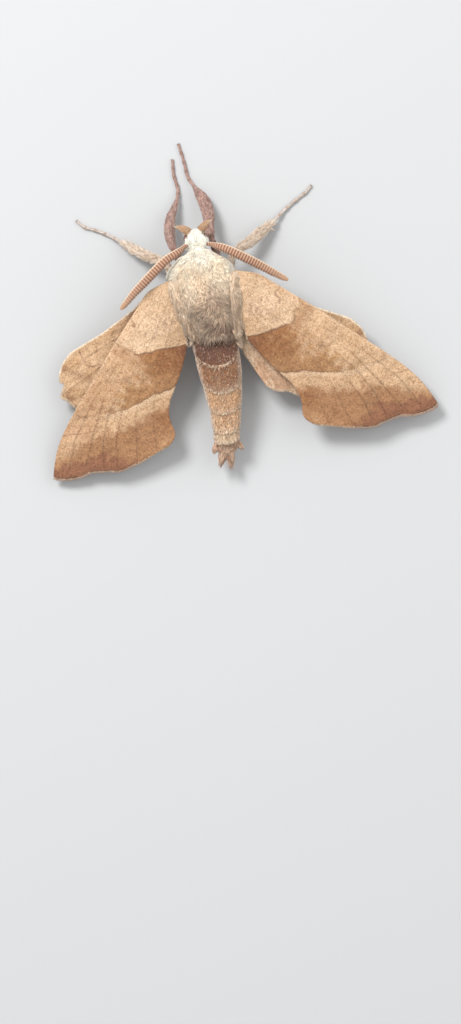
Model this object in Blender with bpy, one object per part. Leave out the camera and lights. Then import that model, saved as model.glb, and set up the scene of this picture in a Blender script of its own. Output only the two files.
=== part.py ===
"""A walnut sphinx moth at rest, life size, one object for each part of its body.

All sizes below are in millimetres. make_object writes the meshes in metres.
+Y points to the head, +X to the moth's right and +Z up. The floor is z = 0.
The body's own axis is x = 0 while the parts are made; the empty that carries
them then brings the middle of the footprint to the origin.
"""

import math
import random

import bmesh
import bpy
from mathutils import Matrix, Vector

METRES = 0.001
GAP = 0.3
SIDES = {"left": -1, "right": 1}
ACROSS = Vector((1, 0, 0))
UP = Vector((0, 0, 1))

# Thorax: half widths along the body, and one oval height.
THORAX_REAR = 0.9
THORAX_AXIS_X = ((10.9, -0.15), (5.0, -0.1), (0.9, 0.3))
THORAX_Z = 5.2
THORAX_HALF_HEIGHT = 3.3
THORAX_END_HEIGHT_SHARE = 0.3
THORAX_FULL_HEIGHT_WIDTH = 2.94
THORAX_HALF_WIDTHS = (
    (10.9, 1.2), (10.4, 2.2), (9.7, 3.05), (9.0, 3.6), (8.2, 3.9), (7.0, 3.95), (6.0, 3.8),
    (5.0, 3.55), (4.0, 3.25), (3.0, 3.0), (2.0, 2.8), (0.9, 2.5),
)

# Thorax locks: rows along the back, each lock a flat tapered blade that lies rearward.
LOCK_SEED = 11
LOCK_ROWS = (10.25, 9.3, 8.2, 7.0, 5.8, 4.6, 3.4)
LOCK_SPACING = 1.25
LOCK_LENGTH = 2.5
LOCK_WIDTH = 1.25
LOCK_THICKNESS = 0.55
LOCK_SINK = 0.4
LOCK_RISE = 0.62
LOCK_LOWEST_ANGLE = 41
LOCK_SHARES = (0.0, 0.35, 0.7, 1.0)
LOCK_SIZES = ((0.75, 1.0), (1.0, 0.95), (0.72, 0.75))
LOCK_LENGTH_CHANGE = 0.12
LOCK_TWIST = 0.15
LOCK_SPLAY = 0.12
LOCK_SPLAY_AT_FLANK = 0.1
SHOULDER_LOCKS = ((9.75, 36), (9.7, 16), (9.65, -4), (9.3, 26), (9.25, 6))
SHOULDER_LOCK_LENGTH = 1.2
SHOULDER_LOCK_FLARE = 0.5
FRINGE_ROWS = (2.5, 1.9)
FRINGE_LENGTH = 2.7
FRINGE_LOWEST_ANGLE = 42
BACK_SLOPE = 0.16

# Abdomen: the rear edge of each segment along the back, and its half width.
ABDOMEN_FRONT = 0.6
ABDOMEN_AXIS_X = ((0.6, 0.36), (-2.8, 0.42), (-5.3, 0.52), (-8.8, 0.43), (-11.7, 0.15), (-12.9, 0.0))
ABDOMEN_AXIS_Z = ((0.6, 4.9), (-12.9, 2.7))
ABDOMEN_HEIGHT_SHARE = 0.92
ABDOMEN_FRONT_HALF_WIDTH = 2.75
ABDOMEN_SEGMENTS = (
    (-1.9, 2.9, 1.7), (-5.1, 2.5, 1.4), (-7.9, 2.08, 1.1), (-10.5, 1.76, 0.8), (-12.1, 1.62, 0.3),
)
ABDOMEN_END = (-12.4, 1.4, 0.1)
SEGMENT_STEP = 0.14
SEGMENT_STEP_RUN = 0.02
SEGMENT_SHARES = (0.35, 0.9, 1.0)

# Head, eyes, palps and antennae.
HEAD_X = -0.24
HEAD_Z = 5.3
HEAD_HEIGHT_SHARE = 0.95
HEAD_HALF_WIDTHS = ((11.2, 0.95), (11.55, 1.32), (12.1, 1.46), (12.6, 1.3), (13.0, 0.7))
EYE_OUT = 1.2
EYE_Y = 12.4
EYE_Z = 4.95
EYE_RADII = (0.28, 0.52, 0.52)

# Wings. Outlines run from the shoulder: along the wing as a share of its reach, then back.
SHOULDER_Z = 6.4
WING_THICKNESS = 0.5
WING_EDGE_THICKNESS = 0.32
VEIN_HEIGHT = 0.12
VEIN_SPREAD = 0.016
VEIN_FADE = 0.12
DROOP_POWER = 1.3
FOREWING_ARCH = 0.55
ARCH_AT_ROOT = 0.15
FOREWING = {
    "left": {"shoulder": (4.2, 7.0), "reach": 27.0, "sweep": 50.7, "drop": 5.2},
    "right": {"shoulder": (3.8, 7.0), "reach": 28.94, "sweep": 39.8, "drop": 4.6},
}
FOREWING_ROOT_Y = (8.1, 4.3)
FOREWING_COSTA = (
    (0.06, -1.72), (0.14, -1.93), (0.23, -2.0), (0.33, -2.06), (0.45, -2.05), (0.58, -2.03),
    (0.69, -2.0), (0.79, -1.85), (0.88, -1.4), (0.955, -0.62), (1.0, 0.0),
)
FOREWING_TERMEN = (
    (1.0, 0.0), (0.985, 1.1), (0.935, 2.75), (0.89, 3.65), (0.842, 5.4), (0.82, 6.4), (0.75, 7.8),
    (0.672, 8.95), (0.61, 9.85), (0.577, 10.0),
)
FOREWING_INNER = (
    (0.118, 4.2), (0.165, 5.3), (0.195, 5.65), (0.28, 6.4), (0.365, 6.87), (0.43, 7.2), (0.48, 7.85),
    (0.508, 8.55), (0.54, 9.7), (0.577, 10.0),
)
FOREWING_VEINS = ((0.14, 0.4), (0.28, 0.0), (0.41, 0.45), (0.54, 0.45), (0.69, 0.0), (0.85, 0.0))
FOREWING_ROWS = 12

# Hindwing points are out from the body and forward, from its hinge.
HINDWING_HINGE = (3.9, 5.5)
HINDWING_TURN = {"left": 0.0, "right": -2.6}
HINDWING_BELOW = 1.15
HINDWING_ROOT_Y = (6.8, 3.0)
HINDWING_COSTA = (
    (3.5, 0.5), (5.1, -0.6), (7.1, -1.7), (9.1, -2.8), (11.1, -3.65), (13.1, -4.5), (13.9, -5.2),
    (14.5, -5.9), (14.85, -6.7),
)
HINDWING_TERMEN = (
    (14.85, -6.7), (15.05, -7.4), (15.0, -8.0), (14.6, -8.4), (14.9, -9.0), (15.2, -9.8), (14.4, -10.45),
    (13.6, -11.4), (12.3, -12.8), (10.6, -13.8), (8.4, -13.9), (6.2, -13.43), (5.0, -12.79),
    (3.47, -12.56), (2.44, -11.9),
)
HINDWING_INNER = ((-0.25, -5.0), (-0.06, -7.4), (0.49, -8.5), (1.58, -10.44), (2.44, -11.9))
HINDWING_VEINS = ((0.14, 0.0), (0.3, 0.4), (0.46, 0.4), (0.62, 0.0), (0.8, 0.0))
HINDWING_ROWS = 10

# Antennae: centre line in x (out), y and z, and the half width along it.
ANTENNA_LINE = {
    "left": (
        (-1.75, 11.45, 6.4), (-2.5, 10.9, 7.3), (-4.0, 10.15, 7.8), (-5.45, 9.1, 7.9), (-6.95, 7.9, 7.7),
        (-8.45, 6.75, 7.2), (-9.55, 5.75, 6.7), (-10.3, 5.1, 6.3),
    ),
    "right": (
        (1.5, 11.3, 6.4), (2.1, 11.0, 7.2), (3.0, 10.55, 7.7), (4.2, 9.8, 7.9), (5.4, 9.0, 7.8),
        (6.6, 8.2, 7.5), (8.0, 7.2, 7.1), (9.2, 6.35, 6.6), (10.0, 5.8, 6.3),
    ),
}
ANTENNA_WIDTHS = (
    (0.0, 0.25), (0.06, 0.32), (0.16, 0.5), (0.4, 0.6), (0.65, 0.58), (0.85, 0.42), (0.95, 0.25), (1.0, 0.1),
)
ANTENNA_HEIGHT_SHARE = 0.5
ANTENNA_LEAST_HALF_HEIGHT = 0.25
ANTENNA_COMB = (0.05, 0.95)
ANTENNA_BRANCHES = 30
ANTENNA_NOTCH = 0.72
ANTENNA_SWEEP = 0.16

# Palps: root and tip in the plan, seen from above.
PALPS = {
    "left": ((-0.98, 13.35, 4.9), (-1.55, 13.7, 5.3), (-2.4, 14.02, 5.5)),
    "right": ((0.52, 13.4, 4.9), (1.1, 13.85, 5.35), (1.84, 14.2, 5.6)),
}
PALP_HALF_WIDTHS = ((0.0, 0.3), (0.3, 0.4), (0.7, 0.28), (1.0, 0.09))
PALP_HEIGHT_SHARE = 0.8

# Legs: hip as its place along the body and angle below the flank, then knee, shin and toes as points.
LEGS = {
    "fore_left": {
        "side": -1, "hip": (9.9, -48), "knee": (-3.05, 11.35, 3.4),
        "shin": ((-3.27, 13.3, 2.6), (-2.9, 15.3, 1.7), (-1.9, 17.3, 0.9)),
        "shin_half_widths": (0.45, 0.74, 0.66, 0.26),
        "toes": ((-1.55, 18.8, 0.3), (-1.8, 20.5, 0.22), (-1.72, 22.4, 0.2)),
    },
    "fore_right": {
        "side": 1, "hip": (9.9, -48), "knee": (1.7, 11.9, 3.4),
        "shin": ((1.58, 13.6, 2.7), (1.68, 15.2, 2.0), (1.35, 16.9, 1.4), (0.5, 18.7, 0.9)),
        "shin_half_widths": (0.38, 0.66, 0.86, 0.84, 0.3),
        "toes": ((-0.15, 20.1, 0.3), (-0.3, 21.5, 0.22), (-0.5, 22.9, 0.2), (-0.75, 24.2, 0.2)),
    },
    "mid_left": {
        "side": -1, "hip": (8.1, -42), "knee": (-4.2, 10.15, 3.2),
        "shin": ((-5.9, 10.95, 2.5), (-7.4, 12.0, 1.7), (-8.95, 13.15, 0.9)),
        "shin_half_widths": (0.32, 0.58, 0.6, 0.3),
        "toes": ((-10.5, 14.35, 0.3), (-12.0, 15.2, 0.22), (-13.4, 15.85, 0.2), (-14.2, 16.7, 0.2)),
    },
    "mid_right": {
        "side": 1, "hip": (8.1, -42), "knee": (3.95, 10.2, 3.2),
        "shin": ((5.9, 11.05, 2.5), (7.4, 12.0, 1.7), (9.15, 13.15, 0.9)),
        "shin_half_widths": (0.32, 0.6, 0.66, 0.34),
        "toes": ((11.0, 14.6, 0.3), (12.6, 15.65, 0.22), (13.8, 16.35, 0.2), (14.5, 17.0, 0.2)),
    },
    "hind_left": {
        "side": -1, "hip": (5.2, -48), "knee": (-5.2, 2.6, 3.0),
        "shin": ((-6.5, 0.7, 2.1), (-7.6, -0.9, 1.4), (-8.6, -2.4, 0.9)),
        "shin_half_widths": (0.32, 0.5, 0.5, 0.3),
        "toes": ((-9.5, -4.1, 0.3), (-10.2, -5.6, 0.22), (-11.0, -7.1, 0.2)),
    },
    "hind_right": {
        "side": 1, "hip": (5.2, -48), "knee": (5.2, 2.6, 3.0),
        "shin": ((6.5, 0.7, 2.1), (7.6, -0.9, 1.4), (8.6, -2.4, 0.9)),
        "shin_half_widths": (0.32, 0.5, 0.5, 0.3),
        "toes": ((9.5, -4.1, 0.3), (10.2, -5.6, 0.22), (11.0, -7.1, 0.2)),
    },
}
THIGH_RADII = (0.42, 0.5, 0.5, 0.36)
HIP_BEND = 0.4
SHIN_HEIGHT_SHARE = 0.75
TOE_RADII = ((0.0, 0.27), (0.9, 0.22), (1.0, 0.12))

# Tail tuft: a short core, and for each lock its root, its tip (both out and along) and its width.
TUFT_HALF_WIDTHS = ((-12.75, 1.45), (-13.2, 1.3), (-13.9, 0.85), (-14.3, 0.4))
TUFT_HALF_HEIGHT = 0.8
TUFT_STAGGER = 0.22
TUFT_CURVE = 1.15
TUFT_Z = ((-12.4, 2.75), (-16.0, 2.0))
TUFT_LOCKS = (
    ((0.75, -12.95), (2.05, -13.45), 0.8), ((0.9, -13.0), (1.6, -14.0), 0.7),
    ((-0.7, -12.95), (-1.8, -13.4), 0.8), ((-0.75, -13.0), (-1.35, -13.95), 0.7),
    ((-0.35, -13.3), (-1.15, -15.3), 0.85), ((-0.2, -13.4), (-0.75, -14.95), 0.7),
    ((0.35, -13.3), (0.15, -15.7), 0.85), ((0.5, -13.2), (0.6, -15.1), 0.8),
    ((0.05, -13.3), (-0.15, -14.9), 0.8),
)

COLOURS = {
    "fur": (0.80, 0.70, 0.58), "wing": (0.66, 0.50, 0.36), "abdomen": (0.62, 0.46, 0.34),
    "antenna": (0.60, 0.40, 0.27), "eye": (0.30, 0.17, 0.12), "palp": (0.66, 0.47, 0.31),
    "foreleg": (0.45, 0.31, 0.29), "leg": (0.70, 0.58, 0.46),
}


class Path:
    """A smooth line through a few points, read by its share of length."""

    STEPS = 12

    def __init__(self, points):
        given = [Vector(p) for p in points]
        line = [given[0]]
        padded = [2 * given[0] - given[1], *given, 2 * given[-1] - given[-2]]
        for a, b, c, d in zip(padded, padded[1:], padded[2:], padded[3:]):
            for step in range(1, self.STEPS + 1):
                t = step / self.STEPS
                line.append(
                    0.5 * (2 * b + (c - a) * t + (2 * a - 5 * b + 4 * c - d) * t * t
                           + (3 * b - a - 3 * c + d) * t * t * t)
                )
        self.line = line
        self.lengths = [0.0]
        for a, b in zip(line, line[1:]):
            self.lengths.append(self.lengths[-1] + (b - a).length)

    def at(self, share):
        wanted = min(max(share, 0.0), 1.0) * self.lengths[-1]
        for i in range(1, len(self.line)):
            if wanted <= self.lengths[i]:
                run = self.lengths[i] - self.lengths[i - 1]
                part = (wanted - self.lengths[i - 1]) / run if run else 0.0
                return self.line[i - 1].lerp(self.line[i], part)
        return self.line[-1].copy()

    def direction(self, share):
        step = 0.01
        return (self.at(share + step) - self.at(share - step)).normalized()


def table_value(table, key):
    """The value for key, read from pairs in rising or falling order."""
    rows = sorted(table)
    if key <= rows[0][0]:
        return rows[0][1]
    for (a, low), (b, high) in zip(rows, rows[1:]):
        if key <= b:
            return low + (high - low) * (key - a) / (b - a)
    return rows[-1][1]


def oval(centre, side, up, half_width, half_height, count, turn=0.5):
    """A ring of points; turn 0.5 puts a flat face, not a corner, at the bottom."""
    ring = []
    for i in range(count):
        angle = 2 * math.pi * (i + turn) / count
        ring.append(centre + side * (half_width * math.sin(angle)) - up * (half_height * math.cos(angle)))
    return ring


def loft(rings):
    """One closed surface through rings of points; an end may be a single point."""
    mesh = bmesh.new()
    made = [[mesh.verts.new(p) for p in ring] for ring in rings]
    for low, high in zip(made, made[1:]):
        count = max(len(low), len(high))
        for i in range(count):
            j = (i + 1) % count
            if len(low) == 1:
                mesh.faces.new((low[0], high[j], high[i]))
            elif len(high) == 1:
                mesh.faces.new((low[i], low[j], high[0]))
            else:
                mesh.faces.new((low[i], low[j], high[j], high[i]))
    for ring in (made[0], made[-1]):
        if len(ring) > 1:
            mesh.faces.new(ring)
    bmesh.ops.recalc_face_normals(mesh, faces=mesh.faces)
    bmesh.ops.triangulate(mesh, faces=mesh.faces)
    return mesh


def tube(path, widths, heights, count, rings, floor=False):
    """A loft along a path, its half widths and half heights read from pairs of share and size."""
    made = []
    for i in range(rings):
        share = i / (rings - 1)
        along = path.direction(share)
        side = along.cross(UP).normalized()
        up = side.cross(along)
        half_width, half_height = table_value(widths, share), table_value(heights, share)
        made.append(oval(path.at(share), side, up, half_width, half_height, count))
    if floor:
        for ring in made:
            for point in ring:
                point.z = max(point.z, 0.0)
    return loft(made)


def even_table(values):
    """Pairs of share and value, the values spread evenly."""
    return [(i / (len(values) - 1), value) for i, value in enumerate(values)]


def make_object(name, mesh, colour, carrier):
    """Writes a mesh in millimetres as an object in metres, with its material, under the carrier."""
    data = bpy.data.meshes.new(name)
    bmesh.ops.scale(mesh, vec=(METRES, METRES, METRES), verts=mesh.verts)
    mesh.to_mesh(data)
    mesh.free()
    data.shade_smooth()
    data.set_sharp_from_angle(angle=math.radians(50))
    material = bpy.data.materials.get(colour) or bpy.data.materials.new(colour)
    material.use_nodes = True
    shader = material.node_tree.nodes["Principled BSDF"]
    shader.inputs["Base Color"].default_value = (*COLOURS[colour], 1.0)
    shader.inputs["Roughness"].default_value = 0.3 if colour == "eye" else 0.85
    data.materials.append(material)
    made = bpy.data.objects.new(name, data)
    bpy.context.scene.collection.objects.link(made)
    made.parent = carrier
    return made


def thorax_half_height(y):
    """The thorax is as high all along, but for its two ends."""
    fullness = min(1.0, table_value(THORAX_HALF_WIDTHS, y) / THORAX_FULL_HEIGHT_WIDTH)
    return THORAX_HALF_HEIGHT * (THORAX_END_HEIGHT_SHARE + (1 - THORAX_END_HEIGHT_SHARE) * fullness)


def thorax_point(side, y, angle, out=0.0):
    """A point on the thorax at an angle above the flank in degrees, and the way out of the surface there."""
    half_width = table_value(THORAX_HALF_WIDTHS, y)
    step = 0.3
    narrowing = table_value(THORAX_HALF_WIDTHS, y - step) - table_value(THORAX_HALF_WIDTHS, y + step)
    slope = narrowing / (2 * step)
    axis = table_value(THORAX_AXIS_X, y)
    c, s = math.cos(math.radians(angle)), math.sin(math.radians(angle))
    normal = Vector((side * c / half_width, c * c * slope / half_width, s / THORAX_HALF_HEIGHT)).normalized()
    point = Vector((axis + side * half_width * c, y, THORAX_Z + THORAX_HALF_HEIGHT * s))
    return point + normal * out, normal


def flank_x(side, y, z):
    """How far out the thorax reaches at a height, on one side."""
    level = (z - THORAX_Z) / THORAX_HALF_HEIGHT
    reach = table_value(THORAX_HALF_WIDTHS, y) * math.sqrt(max(0.0, 1 - level * level))
    return table_value(THORAX_AXIS_X, y) + side * reach


def make_thorax():
    rings = []
    for y, half_width in THORAX_HALF_WIDTHS:
        centre = Vector((table_value(THORAX_AXIS_X, y), y, THORAX_Z))
        rings.append(oval(centre, ACROSS, UP, half_width, thorax_half_height(y), 18))
    return fused(loft(rings), thorax_locks())


def thorax_locks():
    """Rows of locks over the back, a few on each shoulder, and a long fringe at the rear."""
    draw = random.Random(LOCK_SEED)
    locks = []
    for row, y in enumerate(LOCK_ROWS):
        for angle in angles_across(y, LOCK_LOWEST_ANGLE, row % 2):
            locks.append(body_lock(y, angle, LOCK_LENGTH, draw))
    for row, y in enumerate(FRINGE_ROWS):
        for angle in angles_across(y, FRINGE_LOWEST_ANGLE, row % 2):
            locks.append(body_lock(y, angle, FRINGE_LENGTH, draw))
    for y, height in SHOULDER_LOCKS:
        for angle in (height, 180 - height):
            locks.append(body_lock(y, angle, SHOULDER_LOCK_LENGTH, draw, SHOULDER_LOCK_FLARE))
    return locks


def angles_across(y, lowest, odd):
    """Angles over the back at one row, in degrees from the right flank, set about one spacing apart."""
    half_width = table_value(THORAX_HALF_WIDTHS, y)
    span = 180 - 2 * lowest
    arc = math.radians(span) * (half_width + THORAX_HALF_HEIGHT) / 2
    count = max(2, round(arc / LOCK_SPACING)) + odd
    return [lowest + span * i / (count - 1) for i in range(count)]


def body_lock(y, angle, length, draw, outward=0.0):
    """A lock that leaves the thorax at an angle over its back and lies rearward along it."""
    length *= draw.uniform(1 - LOCK_LENGTH_CHANGE, 1 + LOCK_LENGTH_CHANGE)
    splay = draw.uniform(-LOCK_SPLAY, LOCK_SPLAY) + LOCK_SPLAY_AT_FLANK * math.cos(math.radians(angle))
    twist = draw.uniform(-LOCK_TWIST, LOCK_TWIST)
    points = []
    for share in LOCK_SHARES:
        back = y - length * share * (1 - 0.6 * outward)
        turn = angle - math.degrees(splay * length * share / THORAX_HALF_HEIGHT)
        lift = LOCK_RISE * share ** 0.8 - LOCK_SINK * (1 - share) ** 3 + outward * share
        points.append(coat_point(back, turn, lift))
    return lock_shape(points, LOCK_WIDTH, LOCK_THICKNESS, twist)


def coat_point(y, angle, lift):
    """A point over the back at a height off the core, or off the abdomen behind it, and the way up there."""
    y_core = max(y, THORAX_REAR)
    half_width = table_value(THORAX_HALF_WIDTHS, y_core)
    half_height = thorax_half_height(y_core)
    c, s = math.cos(math.radians(angle)), math.sin(math.radians(angle))
    normal = Vector((c / half_width, 0, s / half_height)).normalized()
    point = Vector((table_value(THORAX_AXIS_X, y_core) + half_width * c, y, THORAX_Z + half_height * s))
    droop = Vector((0, 0, -BACK_SLOPE * (y_core - y)))
    return point + normal * lift + droop, normal


def lock_shape(points, width, thickness, twist=0.0):
    """A flat blade through points that each carry the way up, widest a third along, ending in a tip."""
    rings = []
    for i, (wide, thick) in enumerate(LOCK_SIZES):
        place, up = points[i]
        along = (points[i + 1][0] - points[max(i - 1, 0)][0]).normalized()
        side = along.cross(up).normalized()
        side = (side + up * twist).normalized()
        up = side.cross(along)
        half_width, half_height = width * wide / 2, thickness * thick / 2
        rings.append([place - side * half_width, place + up * half_height,
                      place + side * half_width, place - up * half_height])
    rings.append([points[-1][0]])
    return loft(rings)


def make_abdomen():
    front, start = ABDOMEN_FRONT, ABDOMEN_FRONT_HALF_WIDTH
    rings = [(front, start, 0.0)]
    before = 0.0
    for rear, half_width, lag in ABDOMEN_SEGMENTS:
        for share in SEGMENT_SHARES:
            y = front + (rear - front) * share
            rings.append((y, start + (half_width - start) * share, before + (lag - before) * share))
        rings.append((rear - SEGMENT_STEP_RUN, half_width - SEGMENT_STEP, lag))
        front, start, before = rear, half_width - SEGMENT_STEP, lag
    rings.append(ABDOMEN_END)
    made = []
    for y, half_width, lag in rings:
        centre = Vector((table_value(ABDOMEN_AXIS_X, y), y, table_value(ABDOMEN_AXIS_Z, y)))
        half_height = half_width * ABDOMEN_HEIGHT_SHARE
        ring = oval(centre, ACROSS, UP, half_width, half_height, 16)
        for point in ring:
            point.y -= lag * max(0.0, (point.z - centre.z) / half_height)
        made.append(ring)
    return loft(made)


def make_tail_tuft():
    rings = []
    for y, half_width in TUFT_HALF_WIDTHS:
        centre = Vector((table_value(ABDOMEN_AXIS_X, y), y, table_value(TUFT_Z, y)))
        height = TUFT_HALF_HEIGHT * min(1.0, half_width)
        rings.append(oval(centre, ACROSS, UP, half_width, height, 10))
    locks = []
    for i, (root, tip, width) in enumerate(TUFT_LOCKS):
        raised = TUFT_STAGGER if i % 2 else 0.0
        points = []
        for share in LOCK_SHARES:
            x = root[0] + (tip[0] - root[0]) * share ** TUFT_CURVE
            y = root[1] + (tip[1] - root[1]) * share
            points.append((Vector((x, y, table_value(TUFT_Z, y) + raised)), UP))
        locks.append(lock_shape(points, width, LOCK_THICKNESS))
    return fused(loft(rings), locks)


def make_head():
    """The head, with a shallow round socket on each side that the eye sits in."""
    rings = []
    for y, half_width in HEAD_HALF_WIDTHS:
        centre = Vector((HEAD_X, y, HEAD_Z))
        half_height = half_width * HEAD_HEIGHT_SHARE
        rings.append(oval(centre, ACROSS, UP, half_width, half_height, 14))
    return fused(loft(rings), [eye_shape(sign, GAP) for sign in SIDES.values()], "DIFFERENCE")


def eye_shape(sign, growth=0.0):
    centre = Vector((HEAD_X + sign * EYE_OUT, EYE_Y, EYE_Z))
    mesh = bmesh.new()
    bmesh.ops.create_uvsphere(mesh, u_segments=12, v_segments=8, radius=1.0)
    bmesh.ops.scale(mesh, vec=[radius + growth for radius in EYE_RADII], verts=mesh.verts)
    bmesh.ops.translate(mesh, vec=centre, verts=mesh.verts)
    bmesh.ops.triangulate(mesh, faces=mesh.faces)
    return mesh


def loose_object(name, mesh):
    data = bpy.data.meshes.new(name)
    mesh.to_mesh(data)
    mesh.free()
    return bpy.data.objects.new(name, data)


def fused(mesh, others, operation="UNION"):
    """Joins or cuts a closed mesh with others by one Boolean, and keeps its largest closed surface."""
    base = loose_object("base", mesh)
    bpy.context.scene.collection.objects.link(base)
    group = bpy.data.collections.new("others")
    bpy.context.scene.collection.children.link(group)
    for other in others:
        group.objects.link(loose_object("other", other))
    modifier = base.modifiers.new("join", "BOOLEAN")
    modifier.operation = operation
    modifier.operand_type = "COLLECTION"
    modifier.collection = group
    modifier.solver = "EXACT"
    result = bmesh.new()
    result.from_object(base, bpy.context.evaluated_depsgraph_get())
    for thing in [*group.objects, base]:
        bpy.data.objects.remove(thing)
    bpy.data.collections.remove(group)
    bmesh.ops.triangulate(result, faces=result.faces)
    keep_largest(result)
    return result


def keep_largest(mesh):
    """Leaves only the closed surface that holds the most."""
    unseen = set(mesh.faces)
    pieces = []
    while unseen:
        piece = {unseen.pop()}
        reached = list(piece)
        while reached:
            around = {other for edge in reached.pop().edges for other in edge.link_faces}
            new = around & unseen
            unseen -= new
            piece |= new
            reached += new
        pieces.append(piece)

    def volume(piece):
        return sum(f.verts[0].co.dot(f.verts[1].co.cross(f.verts[2].co)) for f in piece)

    pieces.sort(key=volume)
    spare = [face for piece in pieces[:-1] for face in piece]
    bmesh.ops.delete(mesh, geom=spare, context="FACES")


def make_antenna(side):
    """A sabre with a notched edge, one tooth on each side for each branch of the comb."""
    path = Path(ANTENNA_LINE[side])
    rings = []
    steps = 2 * ANTENNA_BRANCHES
    for i in range(steps + 1):
        share = i / steps
        along = path.direction(share)
        across = along.cross(UP).normalized()
        up = across.cross(along)
        half_width = table_value(ANTENNA_WIDTHS, share)
        half_height = max(half_width * ANTENNA_HEIGHT_SHARE, min(half_width, ANTENNA_LEAST_HALF_HEIGHT))
        notch = i % 2 == 1 and share < ANTENNA_COMB[1]
        if notch:
            half_width *= ANTENNA_NOTCH
        ring = oval(path.at(share), across, up, half_width, half_height, 6, 0.0)
        if not notch and ANTENNA_COMB[0] < share < ANTENNA_COMB[1]:
            for corner in (1, 2, 4, 5):
                ring[corner] += along * ANTENNA_SWEEP
        rings.append(ring)
    return loft(rings)


def make_palp(side):
    heights = [(share, size * PALP_HEIGHT_SHARE) for share, size in PALP_HALF_WIDTHS]
    return tube(Path(PALPS[side]), PALP_HALF_WIDTHS, heights, 8, 6)


def make_thigh(leg):
    y, angle = leg["hip"]
    start, normal = thorax_point(leg["side"], y, angle, GAP)
    knee = Vector(leg["knee"])
    bend = start + (normal + (knee - start).normalized()) * HIP_BEND
    sizes = even_table(THIGH_RADII)
    return tube(Path((start, bend, knee)), sizes, sizes, 8, 7)


def after(end, points):
    """A path through points that starts one gap past the end of the piece before."""
    end, first = Vector(end), Vector(points[0])
    return Path([end + (first - end).normalized() * GAP, *points])


def make_shin(leg):
    sizes = even_table(leg["shin_half_widths"])
    heights = [(share, size * SHIN_HEIGHT_SHARE) for share, size in sizes]
    return tube(after(leg["knee"], leg["shin"]), sizes, heights, 10, 8)


def make_toes(leg):
    return tube(after(leg["shin"][-1], leg["toes"]), TOE_RADII, TOE_RADII, 8, 11, floor=True)


def wing_height(side, x, y):
    """Height of the wings' common sheet over the floor, falling away from the shoulder."""
    wing = FOREWING[side]
    reach = math.hypot(abs(x) - wing["shoulder"][0], y - wing["shoulder"][1])
    return SHOULDER_Z - wing["drop"] * (reach / wing["reach"]) ** DROOP_POWER


def forewing_plan(side, points):
    """Outline points of the forewing as places over the floor."""
    wing = FOREWING[side]
    sweep = math.radians(wing["sweep"])
    out = []
    for share, back in points:
        along = share * wing["reach"]
        x = wing["shoulder"][0] + along * math.cos(sweep) - back * math.sin(sweep)
        y = wing["shoulder"][1] - along * math.sin(sweep) - back * math.cos(sweep)
        out.append(Vector((SIDES[side] * x, y, 0)))
    return out


def hindwing_plan(side, points):
    """Outline points of the hindwing as places over the floor."""
    turn = math.radians(HINDWING_TURN[side])
    out = []
    for away, forward in points:
        x = HINDWING_HINGE[0] + away * math.cos(turn) - forward * math.sin(turn)
        y = HINDWING_HINGE[1] + away * math.sin(turn) + forward * math.cos(turn)
        out.append(Vector((SIDES[side] * x, y, 0)))
    return out


def root_line(side, ends, height):
    """The wing's root edge, kept one gap off the thorax's flank."""
    front, rear = ends
    points = []
    for i in range(5):
        y = front + (rear - front) * i / 4
        points.append(Vector((flank_x(SIDES[side], y, height) + SIDES[side] * GAP, y, 0)))
    return points


def vein_columns(veins):
    """Columns of the wing's grid: share across, lift, and where along the wing the vein starts."""
    columns = [(0.0, 0.0, 0.0)]
    edges = [0.0]
    for place, start in veins:
        edges.append(place)
        columns.append((place, VEIN_HEIGHT, start))
        columns += [(place - VEIN_SPREAD, 0.0, 0.0), (place + VEIN_SPREAD, 0.0, 0.0)]
    edges.append(1.0)
    columns += [((a + b) / 2, 0.0, 0.0) for a, b in zip(edges, edges[1:])]
    columns.append((1.0, 0.0, 0.0))
    return sorted(columns)


def wing_sheet(side, costa, inner, root, termen, veins, rows, arch, below):
    """A thin closed sheet between four edges, its veins raised on both faces."""
    front, back, inboard, outboard = (Path(line) for line in (costa, inner, root, termen))
    columns = vein_columns(veins)
    corners = (front.at(0), back.at(0), front.at(1), back.at(1))
    grids = {1: [], -1: []}
    mesh = bmesh.new()
    for i in range(rows + 1):
        t = i / rows
        lines = {1: [], -1: []}
        for s, lift, start in columns:
            blend = front.at(t).lerp(back.at(t), s) + inboard.at(s).lerp(outboard.at(s), t)
            flat = corners[0].lerp(corners[1], s).lerp(corners[2].lerp(corners[3], s), t)
            place = blend - flat
            height = wing_height(side, place.x, place.y) - below
            swell = math.sin(math.pi * (ARCH_AT_ROOT + (1 - ARCH_AT_ROOT) * t))
            height += arch * math.sin(math.pi * s) * swell
            vein = lift * min(1.0, max(0.0, (t - start) / VEIN_FADE if start else 1.0))
            edge = i == rows or s in (0.0, 1.0)
            half = (WING_EDGE_THICKNESS if edge else WING_THICKNESS) / 2 + vein
            for face in (1, -1):
                lines[face].append(mesh.verts.new((place.x, place.y, height + face * half)))
        for face in (1, -1):
            grids[face].append(lines[face])
    last = len(columns) - 1
    for i in range(rows):
        for j in range(last):
            for face in (1, -1):
                g = grids[face]
                a, b, c, d = g[i][j], g[i + 1][j], g[i + 1][j + 1], g[i][j + 1]
                for corner in ((a, b, c), (a, c, d)):
                    mesh.faces.new(corner)
    rim = [(0, j) for j in range(last)] + [(i, last) for i in range(rows)]
    rim += [(rows, j) for j in range(last, 0, -1)] + [(i, 0) for i in range(rows, 0, -1)]
    top, bottom = grids[1], grids[-1]
    for (i, j), (k, m) in zip(rim, rim[1:] + rim[:1]):
        mesh.faces.new((top[i][j], top[k][m], bottom[k][m]))
        mesh.faces.new((top[i][j], bottom[k][m], bottom[i][j]))
    bmesh.ops.recalc_face_normals(mesh, faces=mesh.faces)
    return mesh


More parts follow.
